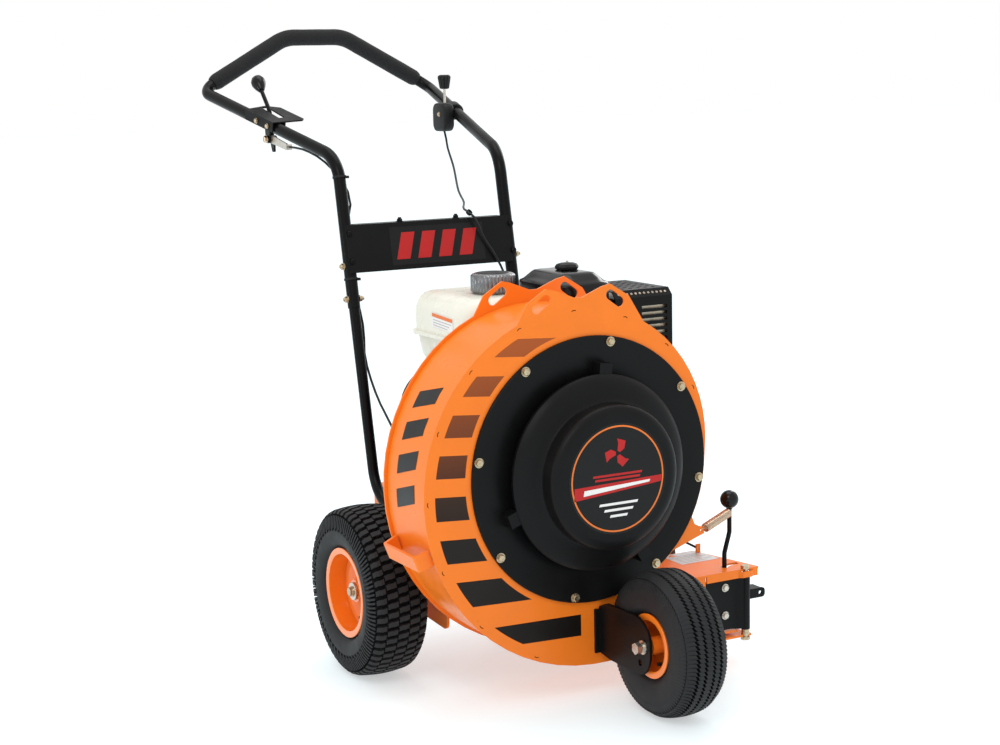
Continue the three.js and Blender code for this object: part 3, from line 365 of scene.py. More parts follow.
ORANGE = finish("orange_powder", (0.84, 0.188, 0.013), 0.34, coat=0.1, mottle=0.03, grain=0.05,
                grain_size=2.2, specular=0.2)
BLACK = finish("black_satin", (0.0048, 0.0048, 0.005), 0.40, mottle=0.12, grain=0.05, grain_size=1.6,
               specular=0.13)
GLOSS = finish("black_gloss", (0.0034, 0.0034, 0.0038), 0.30, mottle=0.1, grain=0.04, grain_size=2.5,
               specular=0.11)
ORANGE_GLOSS = finish("orange_rim", (0.86, 0.19, 0.014), 0.16, coat=0.5, mottle=0.03, specular=0.45)
ZINC = finish("zinc_plate", (0.58, 0.54, 0.48), 0.30, metallic=1.0, mottle=0.14, mottle_size=8)
BROWN_ZINC = finish("yellow_zinc", (0.50, 0.40, 0.27), 0.28, metallic=1.0, mottle=0.25, mottle_size=5)
SPRING_WIRE = finish("spring_wire", (0.60, 0.46, 0.34), 0.28, metallic=1.0, mottle=0.15, mottle_size=6)
SHEET_STEEL = finish("sheet_steel", (0.50, 0.48, 0.46), 0.36, metallic=1.0, grain=0.05, brushed=(1, 12, 12))
HOT_STEEL = finish("heated_steel", (0.46, 0.39, 0.30), 0.38, metallic=1.0, mottle=0.3, mottle_size=30)
CAST = finish("cast_alloy", (0.36, 0.36, 0.37), 0.50, metallic=0.85, mottle=0.12, grain=0.25, grain_size=1.6)
CREAM = finish("cream_plastic", (0.74, 0.725, 0.63), 0.30, coat=0.1, mottle=0.03, grain=0.04, grain_size=3,
               specular=0.35)
PLASTIC = finish("black_plastic", (0.007, 0.007, 0.0075), 0.48, mottle=0.15, grain=0.1, grain_size=0.9,
                 specular=0.25)
POLISHED = finish("polished_lid", (0.005, 0.005, 0.005), 0.18, coat=0.08, mottle=0.1, mottle_size=40,
                  specular=0.2)
CAP_GREY = finish("cap_metal", (0.20, 0.20, 0.205), 0.22, metallic=0.9, mottle=0.2, mottle_size=12)
RUBBER = finish("tyre_rubber", (0.0145, 0.015, 0.016), 0.58, mottle=0.2, mottle_size=25, grain=0.12,
                grain_size=1.4, specular=0.24)
FOAM = finish("grip_foam", (0.015, 0.015, 0.0155), 0.85, mottle=0.25, mottle_size=6, grain=0.5,
              grain_size=1.3, sheen=0.05, specular=0.2)
JACKET = finish("cable_jacket", (0.007, 0.007, 0.0075), 0.35, mottle=0.1, specular=0.3)
# Darker than the rubber: painted shade for the tread's grooves.
GROOVE_SHADE = finish("tread_groove_painted_shade", (0.004, 0.004, 0.0045), 0.8, mottle=0.2, grain=0.1, specular=0.08)
# Near black: painted shade for slits, slots and holes drawn as flat prints.
HOLE_SHADE = finish("hole_painted_shade", (0.002, 0.002, 0.002), 0.9, mottle=0.3, specular=0.05)
PRINT_BLACK = finish("print_black", (0.006, 0.006, 0.006), 0.32, mottle=0.1, specular=0.2)
PRINT_RED = finish("print_red", (0.44, 0.012, 0.012), 0.34, mottle=0.06, specular=0.25)
PRINT_ORANGE = finish("print_orange", (0.74, 0.17, 0.025), 0.34, specular=0.25)
PRINT_WHITE = finish("print_white", (0.78, 0.77, 0.75), 0.36, mottle=0.03, specular=0.3)
PRINT_GREY = finish("print_grey", (0.36, 0.36, 0.36), 0.4)
PRINT_SILVER = finish("print_silver", (0.60, 0.61, 0.61), 0.35, metallic=0.3, mottle=0.12, mottle_size=12)
PRINT_FADE = fading_print()

FINISHES = {
    ORANGE: ["front_plate", "back_plate", "scroll_band", "tie_down_loop", "discharge_top", "discharge_floor",
             "engine_deck", "axle_bracket_right", "axle_bracket_left"],
    ORANGE_GLOSS: ["rear_rim_right", "rear_rim_left", "front_rim"],
    BLACK: ["cover_plate", "inlet_guard", "intake_dish", "gate_panel", "gate_arm", "gate_rod",
            "fork_plate_right", "fork_plate_left", "muffler_guard", "cross_panel", "lever_console"],
    GLOSS: ["gate_lever", "fan_shroud", "recoil_cover", "lower_leg_right", "lower_leg_left", "upper_handle"],
    ZINC: ["front_axle", "throttle_stem"],
    BROWN_ZINC: ["rear_axle", "gate_pin"],
    SHEET_STEEL: ["impeller", "crankshaft"],
    HOT_STEEL: ["muffler"],
    SPRING_WIRE: ["gate_spring"],
    CAST: ["crankcase", "cylinder_head"],
    CREAM: ["fuel_tank"],
    CAP_GREY: ["fuel_cap"],
    POLISHED: ["air_cleaner_cover", "gate_ball", "lever_knob"],
    PLASTIC: ["recoil_handle", "air_cleaner_base", "air_cleaner_knob", "engine_switch", "choke_lever",
              "oil_cap", "throttle_box", "throttle_knob"],
    RUBBER: ["rear_tyre_right", "rear_tyre_left", "front_tyre"],
    FOAM: ["foam_grip"],
    JACKET: ["throttle_cable", "gate_cable"],
}


def soften(mesh, degrees=38):
    """Shading normals averaged across the flat facets of a round; no point of the mesh moves."""
    limit = math.cos(math.radians(degrees))
    corners = {}
    for polygon in mesh.polygons:
        for loop in polygon.loop_indices:
            co = mesh.vertices[mesh.loops[loop].vertex_index].co
            key = (round(co.x, 5), round(co.y, 5), round(co.z, 5))
            corners.setdefault(key, []).append((loop, polygon.normal.copy(), polygon.area))
    normals = [Vector((0, 0, 1))] * len(mesh.loops)
    for group in corners.values():
        for loop, normal, _ in group:
            total = Vector()
            for _, other, area in group:
                if normal.dot(other) > limit:
                    total += other * area
            normals[loop] = total.normalized()
    mesh.polygons.foreach_set("use_smooth", [True] * len(mesh.polygons))
    mesh.normals_split_custom_set(normals)


def finish_nodes():
    for material, names in FINISHES.items():
        for name in names:
            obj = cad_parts[name]
            obj.material_slots[0].link = "OBJECT"
            obj.material_slots[0].material = material
            soften(obj.data)


# ---- housing ----

def scroll_radius(degrees):
    if degrees < 0:
        return SCROLL["start"]
    return SCROLL["start"] + SCROLL["slope"] * degrees - SCROLL["curl"] * degrees ** 2


def polar(radius, degrees, y):
    angle = math.radians(degrees)
    return (radius * math.cos(angle), y, CRANK_Z + radius * math.sin(angle))


def cover_plate():
    shape = Shape()
    lip = [(157, -6.3), (150, -3), (146, 12), (146, 20), (149, 20), (150, 8), (154, -0.3)]
    profile = [(COVER_R, -0.3), (COVER_R, -4.8), (COVER_R - 1.5, -6.3), *lip, (COVER_R, -0.3)]
    turned(shape, (0, 0, CRANK_Z), (0, 1, 0), profile, 144)
    piece("cover_disc", shape, BLACK, stands_for=["cover_plate"])


def cover_bolts():
    shape = Shape()
    for k in range(8):
        x, _, z = polar(BOLT_CIRCLE, 79.9 - 45 * k, 0)
        hex_bolt(shape, (x, -6.4, z), (0, -1, 0), across=12, height=6.8, washer=9)
    piece("cover_bolts", shape, BROWN_ZINC, smooth=25)


def intake_dish():
    """Stepped dish turned in one piece, on three tabs that reach the cover."""
    radius, dome, depth, wall = DISH["radius"], DISH["dome"], DISH["depth"], DISH["wall"]
    outer = [(0, -depth), (112, -depth), (120, 1.2 - depth), (126.5, 4 - depth), (130.5, 8 - depth),
             (dome, 13 - depth), (dome, -58), (dome + 1, -53.5), (dome + 4, -51), (145, -48.8), (157, -46.4),
             (168, -42.5), (176, -37.5), (radius, -32.5), (radius, -26)]
    inner = [(r - wall, y + wall) for r, y in reversed(outer[1:-1])]
    profile = outer + [(radius - wall, -26)] + inner + [(0, wall - depth)]
    shape = Shape()
    turned(shape, (0, 0, CRANK_Z), (0, 1, 0), profile, 128)
    middle = Vector((0, 0, CRANK_Z))
    for degrees in (85, 200, 300):
        out = Vector(polar(1, degrees, 0)) - middle
        wide = Vector((-out.z, 0, out.x)) * 13
        near = middle + out * (radius - 3)
        far = middle + out * (radius + 19)
        foot = [v + Vector((0, -31.2, 0)) for v in (near - wide, far - wide, far + wide, near + wide)]
        printed(shape, foot, (0, 24.6, 0))
    piece("dish_shell", shape, BLACK, stands_for=["intake_dish"])


def face_bar(shape, x0, x1, z0, z1, y, tint, lean=0.0):
    """Flat printed bar on a face that looks to -Y; lean slants its ends."""
    printed(shape, [(x0, y, z0), (x1, y, z0), (x1 + lean, y, z1), (x0 + lean, y, z1)], (0, -0.2, 0), tint)


def fan_blade(shape, hub, reach, turn, y, tint):
    """One swept blade of a plain fan sign."""
    outline = []
    sweeps = ((5, 0), (0.6 * reach, 0.15), (reach, 0.55), (reach, 1.25), (0.7 * reach, 1.15), (5, 1.3))
    for radius, sweep in sweeps:
        angle = turn + sweep
        outline.append((hub[0] + radius * math.cos(angle), y, hub[1] + radius * math.sin(angle)))
    printed(shape, outline, (0, -0.2, 0), tint)


def dish_label():
    """Round label with a thin ring, a plain fan sign, a red band and rows of pale lines."""
    shape = Shape()
    face = -DISH["depth"] - 0.05
    turned(shape, (0, face, CRANK_Z), (0, -1, 0), [(0, 0), (101, 0), (101, 0.25), (0, 0.25)], 96)
    turned(shape, (0, face - 0.25, CRANK_Z), (0, -1, 0), ring_profile(93.5, 96.5, 0, 0.25), 96, 1)
    mark = face - 0.3
    for k in range(3):
        turn = 2 * math.pi * k / 3 + 0.35
        fan_blade(shape, (0, CRANK_Z + 46), 27, turn, mark, 2)
    for k in range(2):
        low = CRANK_Z + 6 - 7 * k
        face_bar(shape, -52 + 4 * k, 50 - 4 * k, low, low + 4, mark, 2, lean=1)
    band = [(-91, -31), (91, -15), (92, -3), (-90, -8)]
    printed(shape, [(x, mark, CRANK_Z + z) for x, z in band], (0, -0.2, 0), 2)
    line = [(-72, -24), (66, -13), (68, -8.5), (-70, -14)]
    printed(shape, [(x, mark - 0.2, CRANK_Z + z) for x, z in line], (0, -0.2, 0), 3)
    for row, half in ((-47, 40), (-58, 30), (-69, 18)):
        face_bar(shape, -half, half, CRANK_Z + row, CRANK_Z + row + 4.5, mark, 3, lean=2)
    piece("dish_label", shape, [PRINT_BLACK, PRINT_ORANGE, PRINT_RED, PRINT_WHITE])


def plate_stickers():
    """Row of slanted prints down the left of the front plate, from its bright top to its dark foot."""
    tops = [684, 625, 561, 492, 419, 341, 261, 167]
    bottoms = [656, 592, 523, 452, 376, 297, 212, 127]
    drop = 4.5
    inner = 258
    margin = 22
    steps = 10

    def left_edge(z):
        low, high = 90, 270
        for _ in range(40):
            middle = (low + high) / 2
            if (scroll_radius(middle) - margin) * math.sin(math.radians(middle)) > z - CRANK_Z:
                low = middle
            else:
                high = middle
        return (scroll_radius(low) - margin) * math.cos(math.radians(low))

    shape = Shape()
    for index, (top, bottom) in enumerate(zip(tops, bottoms)):
        lefts = []
        rights = []
        for i in range(steps + 1):
            z = bottom + (top - bottom) * i / steps
            lefts.append((left_edge(z), z))
            across = inner ** 2 - (z - drop - CRANK_Z) ** 2
            edge = -math.sqrt(max(across, 0))
            rights.append((min(edge, -26) if index == len(tops) - 1 else edge, z - drop))
        printed(shape, [(x, -0.05, z) for x, z in lefts + rights[::-1]], (0, -0.25, 0))
    piece("plate_stickers", shape, PRINT_FADE, smooth=20)


def band_stripe(shape, start, sweep, slant, y0, y1):
    """Printed stripe that follows the scroll band's curve; slant turns it as it crosses the band."""
    rows, columns = 4, 8
    loops = []
    for j in range(columns + 1):
        y = y0 + (y1 - y0) * j / columns
        angles = [start + sweep * i / rows + slant * j / columns for i in range(rows + 1)]
        outer = [polar(scroll_radius(a) - BAND_INSET + 0.3, a, y) for a in angles]
        inner = [polar(scroll_radius(a) - BAND_INSET + 0.02, a, y) for a in reversed(angles)]
        loops.append(outer + inner)
    lofted(shape, loops)


def band_marks():
    """Four slanted black stripes in place of lettering on the band."""
    shape = Shape()
    for k in range(4):
        band_stripe(shape, 147.5 + 10.6 * k, 5.8, 3.4, 50, 122)
    piece("band_marks", shape, PRINT_BLACK, smooth=60)


def slot_gap_shade():
    """Fine dark seams where the band's tabs come through the front plate's slots: painted shade of the gaps
    in the slots.
    """
    shape = Shape()
    for degrees in range(-36, 262, 22):
        radius = scroll_radius(degrees) - BAND_INSET - 2
        centre = Vector(polar(radius, degrees, 0))
        along = Vector((-math.sin(math.radians(degrees)), 0, math.cos(math.radians(degrees)))) * 4.5
        out = Vector((along.z, 0, -along.x)).normalized() * 0.7
        bow = out * 2
        outline = [centre - along - out, centre - out + bow, centre + along - out, centre + along + out,
                   centre + out + bow, centre - along + out]
        printed(shape, outline, (0, -0.15, 0))
    piece("slot_gap_shade", shape, HOLE_SHADE)


def discharge_fittings():
    """Bolts of the gate panel, the joggle of the outlet's lip over the pin, and the outlet's label."""
    bolts = Shape()
    for z in (160, 105):
        hex_bolt(bolts, (303, 7.9, z), (0, -1, 0), across=11, height=6, washer=8)
    piece("gate_bolts", bolts, ZINC, body="gate", smooth=25)
    lip = Shape()
    joggle = [(328, -2.2), (335, -7.6), (356, -7.6), (363, -2.2), (363, -0.6), (355, -6), (336, -6),
              (328, -0.6)]
    printed(lip, [(x, y, 178) for x, y in joggle], (0, 0, 12.2))
    piece("outlet_lip_joggle", lip, ORANGE, smooth=20)
    label = Shape()
    x0, x1, y0, y1 = 258, 347, 88, 163
    base, top = 194.4, 194.7
    printed(label, [(x0, y0, base), (x1, y0, base), (x1 - 6, y1, base), (x0, y1, base)], (0, 0, top - base))
    for row in range(6):
        y = y0 + 8 + 9 * row
        right = x1 - 8 if row % 2 else x1 - 22
        line = [(x0 + 6, y, top), (right, y, top), (right, y + 3, top), (x0 + 6, y + 3, top)]
        printed(label, line, (0, 0, 0.15), 1)
    mark = [(x0 + 8, y1 - 16, top), (x0 + 30, y1 - 16, top), (x0 + 19, y1 - 4, top)]
    printed(label, mark, (0, 0, 0.15), 2)
    piece("outlet_label", label, [PRINT_SILVER, PRINT_GREY, PRINT_ORANGE])


def gate_spring():
    """Close-wound extension spring with a hook at each end, drawn from the chassis to the gate; it is baked
    in place and attached to neither.
    """
    start = Vector((243, -2, 285))
    end = Vector((331, 26, 305))
    along, across, third = axes_about(end - start)
    length = (end - start).length
    coil, wire, turns = 7.9, 1.25, 24
    path = [start + across * 3, start + across * 2 + along * 4]
    body_start, body_end = 9, length - 9
    per_turn = 14
    for i in range(turns * per_turn + 1):
        angle = 2 * math.pi * i / per_turn
        distance = body_start + (body_end - body_start) * i / (turns * per_turn)
        path.append(start + along * distance + (across * math.cos(angle) + third * math.sin(angle)) * coil)
    path += [end - along * 4 + across * 2, end + across * 3]
    shape = Shape()
    swept(shape, path, wire, 6)
    spring = piece("coil_spring", shape, SPRING_WIRE, body=None, stands_for=["gate_spring"])
    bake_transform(spring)


def ball_knob():
    centre = node_centre("gate_ball")
    shape = Shape()
    radius = 18
    profile = [(0, -radius - 1), (6, -radius - 1), (6.5, -16.8)]
    for degrees in range(24, 180, 6):
        angle = math.radians(degrees)
        profile.append((radius * math.sin(angle), -radius * math.cos(angle)))
    profile.append((0, radius))
    turned(shape, centre, (0, 0, 1), profile, 48)
    piece("gate_ball_knob", shape, POLISHED, body="gate", stands_for=["gate_ball"])


# ---- wheels ----

class Section:
    """Tyre section as a curve measured from the crown; sink moves a point inwards."""

    def __init__(self, size):
        half = size["width"] / 2
        r, rim, shoulder = size["radius"], size["rim"], size["shoulder"]
        side = [(rim + 1, 0.78), (rim + 8, 0.92), (r - 2.3 * shoulder, 1.0), (r - 1.1 * shoulder, 0.97),
                (r - 0.3 * shoulder, 0.82), (r - 2, 0.5)]
        points = [(a, -half * b, 0) for a, b in side] + [(r, 0, 0)]
        points += [(a, half * b, 0) for a, b in reversed(side)]
        self.points = smooth_curve(points, 8)
        self.lengths = [0.0]
        for a, b in zip(self.points, self.points[1:]):
            self.lengths.append(self.lengths[-1] + (b - a).length)
        self.middle = self.lengths[-1] / 2

    def point(self, distance, sink=0.0):
        wanted = min(max(distance + self.middle, 0), self.lengths[-1] - 1e-6)
        i = next(k for k, length in enumerate(self.lengths[1:]) if length > wanted)
        share = (wanted - self.lengths[i]) / (self.lengths[i + 1] - self.lengths[i])
        a, b = self.points[i], self.points[i + 1]
        here = a.lerp(b, share)
        run = (b - a).normalized()
        return here.x - run.y * sink, here.y + run.x * sink


def tyre_point(centre, radius, along, angle):
    return (centre[0] + along, centre[1] + radius * math.cos(angle), centre[2] + radius * math.sin(angle))


def lug(shape, section, centre, quad, depth, taper=0.8, close=0.88):
    """Raised tread block; quad is four (distance across, angle) corners at its foot."""
    ds = sum(d for d, _ in quad) / 4
    mid = sum(a for _, a in quad) / 4
    top = []
    foot = []
    for distance, angle in quad:
        r, along = section.point(distance, depth + 0.6)
        foot.append(tyre_point(centre, r, along, angle))
        pull = taper / max(abs(distance - ds), 0.1)
        near = distance + (ds - distance) * min(pull, 0.4)
        turn = mid + (angle - mid) * close
        r, along = section.point(near)
        top.append(tyre_point(centre, r, along, turn))
    faces = [[4, 5, 6, 7]]
    faces += [[i, (i + 1) % 4, 4 + (i + 1) % 4, 4 + i] for i in range(4)]
    shape.add(foot + top, faces)


def carcass(shape, section, centre, size, depth, tread_half):
    outline = []
    total = section.lengths[-1]
    count = 56
    for i in range(count + 1):
        distance = -total / 2 + total * i / count
        fade = min(max((tread_half + 6 - abs(distance)) / 8, 0), 1)
        r, along = section.point(distance, depth * fade)
        outline.append((r, along))
    seat = size["rim"] - 9
    half = size["width"] / 2
    outline += [(seat, half * 0.7), (seat, -half * 0.7), outline[0]]
    turned(shape, centre, (1, 0, 0), outline, 120)
    # The tread ring between the lugs takes the second material, the grooves' painted shade.
    tread = []
    for i in range(33):
        distance = (2 * i / 32 - 1) * (tread_half + 3)
        tread.append(section.point(distance, depth * 0.93 if 0 < i < 32 else depth + 0.5))
    turned(shape, centre, (1, 0, 0), tread, 120, 1)


def turf_tyre(name, node, body):
    """Rear tyre: staggered bricks over the crown and long lugs round the shoulders."""
    size = REAR_TYRE
    section = Section(size)
    centre = node_centre(node)
    shape = Shape()
    depth = 6.5
    carcass(shape, section, centre, size, depth, 84)
    pitches = 56
    step = 2 * math.pi / pitches
    for row in range(-2, 3):
        middle = 22.5 * row
        for k in range(pitches):
            a = step * (k + 0.5 * (row % 2))
            for part in (-1, 0, 1):
                low, high = middle + part * 6.8 - 3.5, middle + part * 6.8 + 3.5
                rise = step * 0.11
                ends = {-1: (rise, 0), 0: (0, 0), 1: (0, -rise)}[part]
                quad = [(low, a - step * 0.31 + ends[0]), (high, a - step * 0.31 + ends[1]),
                        (high, a + step * 0.31 + ends[1]), (low, a + step * 0.31 + ends[0])]
                lug(shape, section, centre, quad, depth, taper=0.1)
    for side in (-1, 1):
        for k in range(pitches * 2):
            a = step * 0.5 * (k + 0.25)
            slant = step * 0.16
            half = step * 0.135
            reach = 91 if k % 2 else 84
            for near, far, drift in ((59, 74, 0), (74, reach, slant)):
                quad = [(side * near, a - half + drift), (side * far, a - half + slant),
                        (side * far, a + half + slant), (side * near, a + half + drift)]
                lug(shape, section, centre, quad, depth, taper=0.05)
    piece(name, shape, [RUBBER, GROOVE_SHADE], body=body, stands_for=[node], smooth=30)


def ribbed_tyre(name, node, body):
    """Front tyre: saw-toothed ribs round the crown and fine ridges on the shoulders."""
    size = FRONT_TYRE
    section = Section(size)
    centre = node_centre(node)
    shape = Shape()
    depth = 5.5
    carcass(shape, section, centre, size, depth, 43)
    teeth = 104
    step = 2 * math.pi / teeth
    ribs = [(-46, -26.5), (-21.5, -11), (-6.5, 6.5), (11, 21.5), (26.5, 46)]
    lean = 4.6
    for low, high in ribs:
        for k in range(teeth):
            a = step * k
            left = low if low == -46 else low - lean / 2
            right = high if high == 46 else high + lean / 2
            near = left if low == -46 else left + lean
            far = right if high == 46 else right - lean
            quad = [(left, a), (far, a), (right, a + step), (near, a + step)]
            lug(shape, section, centre, quad, depth, taper=0.2, close=0.97)
    for side in (-1, 1):
        for k in range(teeth):
            a = step * (k + 0.3)
            near, far = side * 47, side * 65
            quad = [(near, a, 1.1), (far, a + step * 0.3, 0.4), (far, a + step * 0.75, 0.4),
                    (near, a + step * 0.5, 1.1)]
            top = [tyre_point(centre, *section.point(d, -lift), angle) for d, angle, lift in quad]
            low = [tyre_point(centre, *section.point(d, 1.0), angle) for d, angle, _ in quad]
            prism(shape, low, top)
    piece(name, shape, [RUBBER, GROOVE_SHADE], body=body, stands_for=[node], smooth=30)


def rim(name, node, body, size, hub_half, hub_radius, bore, disc_at):
    rim_r = size["rim"]
    half = size["width"] / 2
    seat = rim_r - 10
    centre = node_centre(node)
    shape = Shape()
    lip = [(rim_r - 1, 0.80), (rim_r - 1, 0.86), (rim_r - 3, 0.87), (seat - 3, 0.84)]
    barrel = [(r, -half * share) for r, share in reversed(lip)] + [(seat, -half * 0.72), (seat, half * 0.72)]
    barrel += [(r, half * share) for r, share in lip] + [(seat - 3, -half * 0.84)]
    turned(shape, centre, (1, 0, 0), barrel, 96)
    d = disc_at
    dish = [(hub_radius, -d - 6), (hub_radius + 5, -d - 3), (seat - 28, -d - 2), (seat - 22, -d - 4),
            (seat - 14, -d - 12), (seat - 3.4, -d - 14), (seat - 3.4, -d - 10), (seat - 12, -d - 8),
            (seat - 20, -d), (seat - 28, -d + 2), (hub_radius, -d + 2)]
    hub = [(hub_radius, hub_half), (bore, hub_half), (bore, -hub_half), (hub_radius, -hub_half)]
    face = [hub[-2], hub[-1], *dish, hub[0], hub[1], hub[2]]
    turned(shape, centre, (1, 0, 0), face, 72)
    piece(name, shape, ORANGE_GLOSS, body=body, stands_for=[node])


def wheels():
    for side in ("right", "left"):
        turf_tyre(f"rear_tread_{side}", f"rear_tyre_{side}", f"rear_wheel_{side}")
    ribbed_tyre("front_tread", "front_tyre", "front_wheel")
    for side in ("right", "left"):
        rim(f"rear_wheel_disc_{side}", f"rear_rim_{side}", f"rear_wheel_{side}", REAR_TYRE, 28, 22, 10.4, 0)
    rim("front_wheel_disc", "front_rim", "front_wheel", FRONT_TYRE, 40, 16, 8.4, -4)
    washers = Shape()
    for side in (-1, 1):
        seat = (CHASSIS_X + side * 313.2, *node_centre("rear_axle")[1:])
        ring = [(9.5, 0), (17.5, 0), (17.5, 1.4), (16.8, 2), (10, 2), (9.5, 1.4), (9.5, 0)]
        turned(washers, seat, (side, 0, 0), ring, 40)
    piece("hub_washers", washers, ZINC)
    for name, node, body, out in (("valve_right", "rear_rim_right", "rear_wheel_right", -1),
                                  ("valve_left", "rear_rim_left", "rear_wheel_left", 1),
                                  ("valve_front", "front_rim", "front_wheel", -1)):
        centre = node_centre(node)
        reach = 58 if "rear" in node else 38
        shape = Shape()
        foot = (centre[0] + out * 14, centre[1] - reach * 0.6, centre[2] - reach * 0.8)
        turned(shape, foot, (out, 0.05, 0.1), [(0, 0), (5, 0), (4, 8), (3.4, 9), (3.4, 22), (0, 22)], 16)
        piece(name, shape, PLASTIC, body=body)


# ---- engine ----

def shell(name, node, layers, corner, material):
    """Moulded box: layers are (inset from the node's box, height share, corner radius share)."""
    low, high = node_box(node)
    grow = 6 if node == "fuel_tank" else 3
    shape = Shape()
    loops = []
    for inset, z in layers:
        x0, x1 = low.x + grow + inset, high.x - grow - inset
        y0, y1 = low.y + grow + inset, high.y - grow - inset
        radius = max(corner - inset, 8)
        loops.append([(x, y, z) for x, y in rounded_rect(x0, x1, y0, y1, radius, 8)])
    lofted(shape, loops)
    return piece(name, shape, material, stands_for=[node], smooth=50)


def fuel_tank():
    low, _ = node_box("fuel_tank")
    seam = 650
    top = 731
    layers = [(34, low.z), (27, low.z + 3), (21, low.z + 12), (12, 606), (7, 630), (5, seam - 4),
              (-6, seam - 3.4), (-6, seam + 3.4), (0, seam + 4), (0, 690), (1.5, 701), (5, 711), (11, 719.5),
              (19, 726), (30, 730), (44, top)]
    shell("tank_shell", "fuel_tank", layers, 42, CREAM)
    neck = Shape()
    cap = node_centre("fuel_cap")
    turned(neck, (cap.x, cap.y, top - 1), (0, 0, 1), [(0, 0), (31, 0), (29, 3), (0, 3)], 40)
    piece("tank_neck", neck, CREAM)
    label = Shape()
    x = low.x + 5.6
    face = x - 0.5
    printed(label, [(x, 354, 696), (x, 265, 691), (x, 265, 664), (x, 354, 668)], (-0.5, 0, 0), 0)
    printed(label, [(face, 352, 695), (face, 267, 690), (face, 267, 683), (face, 352, 688)], (-0.2, 0, 0), 1)
    for row in range(3):
        end, z = 272 + 8 * row, 683 - 5 * row
        line = [(face, 348, z), (face, end, z - 4), (face, end, z - 5.5), (face, 348, z - 1.5)]
        printed(label, line, (-0.2, 0, 0), 2)
    piece("tank_label", label, [PRINT_WHITE, PRINT_ORANGE, PRINT_GREY])


def fuel_cap():
    low, high = node_box("fuel_cap")
    centre = node_centre("fuel_cap")
    shape = Shape()
    levels = [(40.5, low.z), (43.2, low.z + 2), (43.2, high.z - 6), (40.5, high.z - 3), (36, high.z - 1.2)]
    fluted(shape, centre, levels, 144, lambda r, i, _: r - 1.3 if i % 4 in (0, 1) and r > 42 else r)
    lid = [(0, 0), (32, 0), (31, 1.2), (0, 1.3)]
    turned(shape, (centre.x, centre.y, high.z - 1.3), (0, 0, 1), lid, 48, 1)
    piece("tank_cap", shape, [CAP_GREY, PLASTIC], body="fuel_cap_body", stands_for=["fuel_cap"])


def air_cleaner():
    low, high = node_box("air_cleaner_cover")
    layers = [(-5, low.z), (-8, low.z + 2), (-8, high.z - 24), (-6.5, high.z - 20.5), (1, high.z - 17.5),
              (9, high.z - 11), (17, high.z - 4.5), (22, high.z - 1.5), (30, high.z)]
    shell("cleaner_lid", "air_cleaner_cover", layers, 34, POLISHED)
    knob = Shape()
    centre = node_centre("air_cleaner_knob")
    base = node_box("air_cleaner_knob")[0].z
    levels = [(20, base), (22.6, base + 1.5), (23.4, base + 6), (20, base + 11), (12, base + 13.4),
              (5, base + 14)]
    fluted(knob, centre, levels, 72, lambda r, _, angle: r * (1.06 - 0.12 * (1 - math.cos(5 * angle))))
    stud = [(0, 0), (2.6, 0), (2.6, 3.2), (2, 4), (0, 4)]
    turned(knob, (centre.x, centre.y, base + 13.5), (0, 0, 1), stud, 18, 1)
    piece("cleaner_wing_knob", knob, [PLASTIC, ZINC], body="air_cleaner_knob_body",
          stands_for=["air_cleaner_knob"])


def guard_hole_shade_and_highlights():
    """Punched holes in the top and sloped front of the muffler's guard: dark rounds on the top are painted
    shade in the holes, and bright rounds on the slope show the muffler behind and are painted highlights of
    the holes' edges as well.
    """
    low, high = node_box("muffler_guard")
    shape = Shape()
    hole = [(0, 0), (4.2, 0), (4.2, 0.15), (0, 0.15)]
    for i in range(6):
        for j in range(7):
            turned(shape, (low.x + 22 + 17.6 * i, low.y + 36 + 20 * j, high.z), (0, 0, 1), hole, 16)
    small = [(0, 0), (2.6, 0), (2.6, 0.15), (0, 0.15)]
    for i in range(12):
        # Slope holes in the muffler's colour: the muffler seen through, and painted highlights of the holes'
        # edges.
        turned(shape, (low.x + 12 + 9.8 * i, low.y + 7, high.z - 7), (0, -1, 1), small, 12, 1)
    piece("guard_hole_shade_and_highlights", shape, [HOLE_SHADE, HOT_STEEL])
    bolts = Shape()
    for x, z in ((low.x + 14, low.z + 12), (high.x - 10, low.z + 8)):
        hex_bolt(bolts, (x, low.y, z), (0, -1, 0), across=10, height=5, washer=7)
    piece("guard_bolts", bolts, ZINC, smooth=25)


def engine_details():
    """Recoil slots and the spark plug's cap."""
    high = node_box("recoil_cover")[1]
    centre = node_centre("recoil_cover")
    middle = Vector((centre.x, high.y, centre.z))
    shape = Shape()
    # Each slot is a thin dark strip on the cover: painted shade of the vent slots.
    for ring, count, length in ((58, 24, 16), (82, 32, 14)):
        for k in range(count):
            angle = 2 * math.pi * k / count
            out = Vector((math.cos(angle), 0, math.sin(angle)))
            side = Vector((-out.z, 0, out.x)) * 3
            near = middle + out * (ring - length / 2)
            far = middle + out * (ring + length / 2)
            printed(shape, [near - side, far - side, far + side, near + side], (0, 0.2, 0))
    piece("recoil_slot_shade", shape, HOLE_SHADE)
    plug = Shape()
    head_low, head_high = node_box("cylinder_head")
    boot = Vector((head_high.x - 18, head_low.y + 8, 470))
    swept(plug, smooth_curve([boot, boot + Vector((6, -20, 4)), boot + Vector((2, -30, 12))], 6), 8, 16)
    piece("plug_boot", plug, PLASTIC)


# ---- handle ----

LEG = {"x": 186.5, "lean": 0.195, "top_y": 656, "top_z": 985}
CORNER = (282.5, 1178, 1124)
TOP_BAR = (72, 1191, 1240.5)
JOINT_Z = 684
TUBE = 12.7


def leg_y(z):
    return LEG["top_y"] - LEG["lean"] * (LEG["top_z"] - z)


def across(half):
    mirrored = [(-p[0], *p[1:]) for p in reversed(half)]
    return [(p[0] + CHASSIS_X, *p[1:]) for p in [*half, *mirrored]]


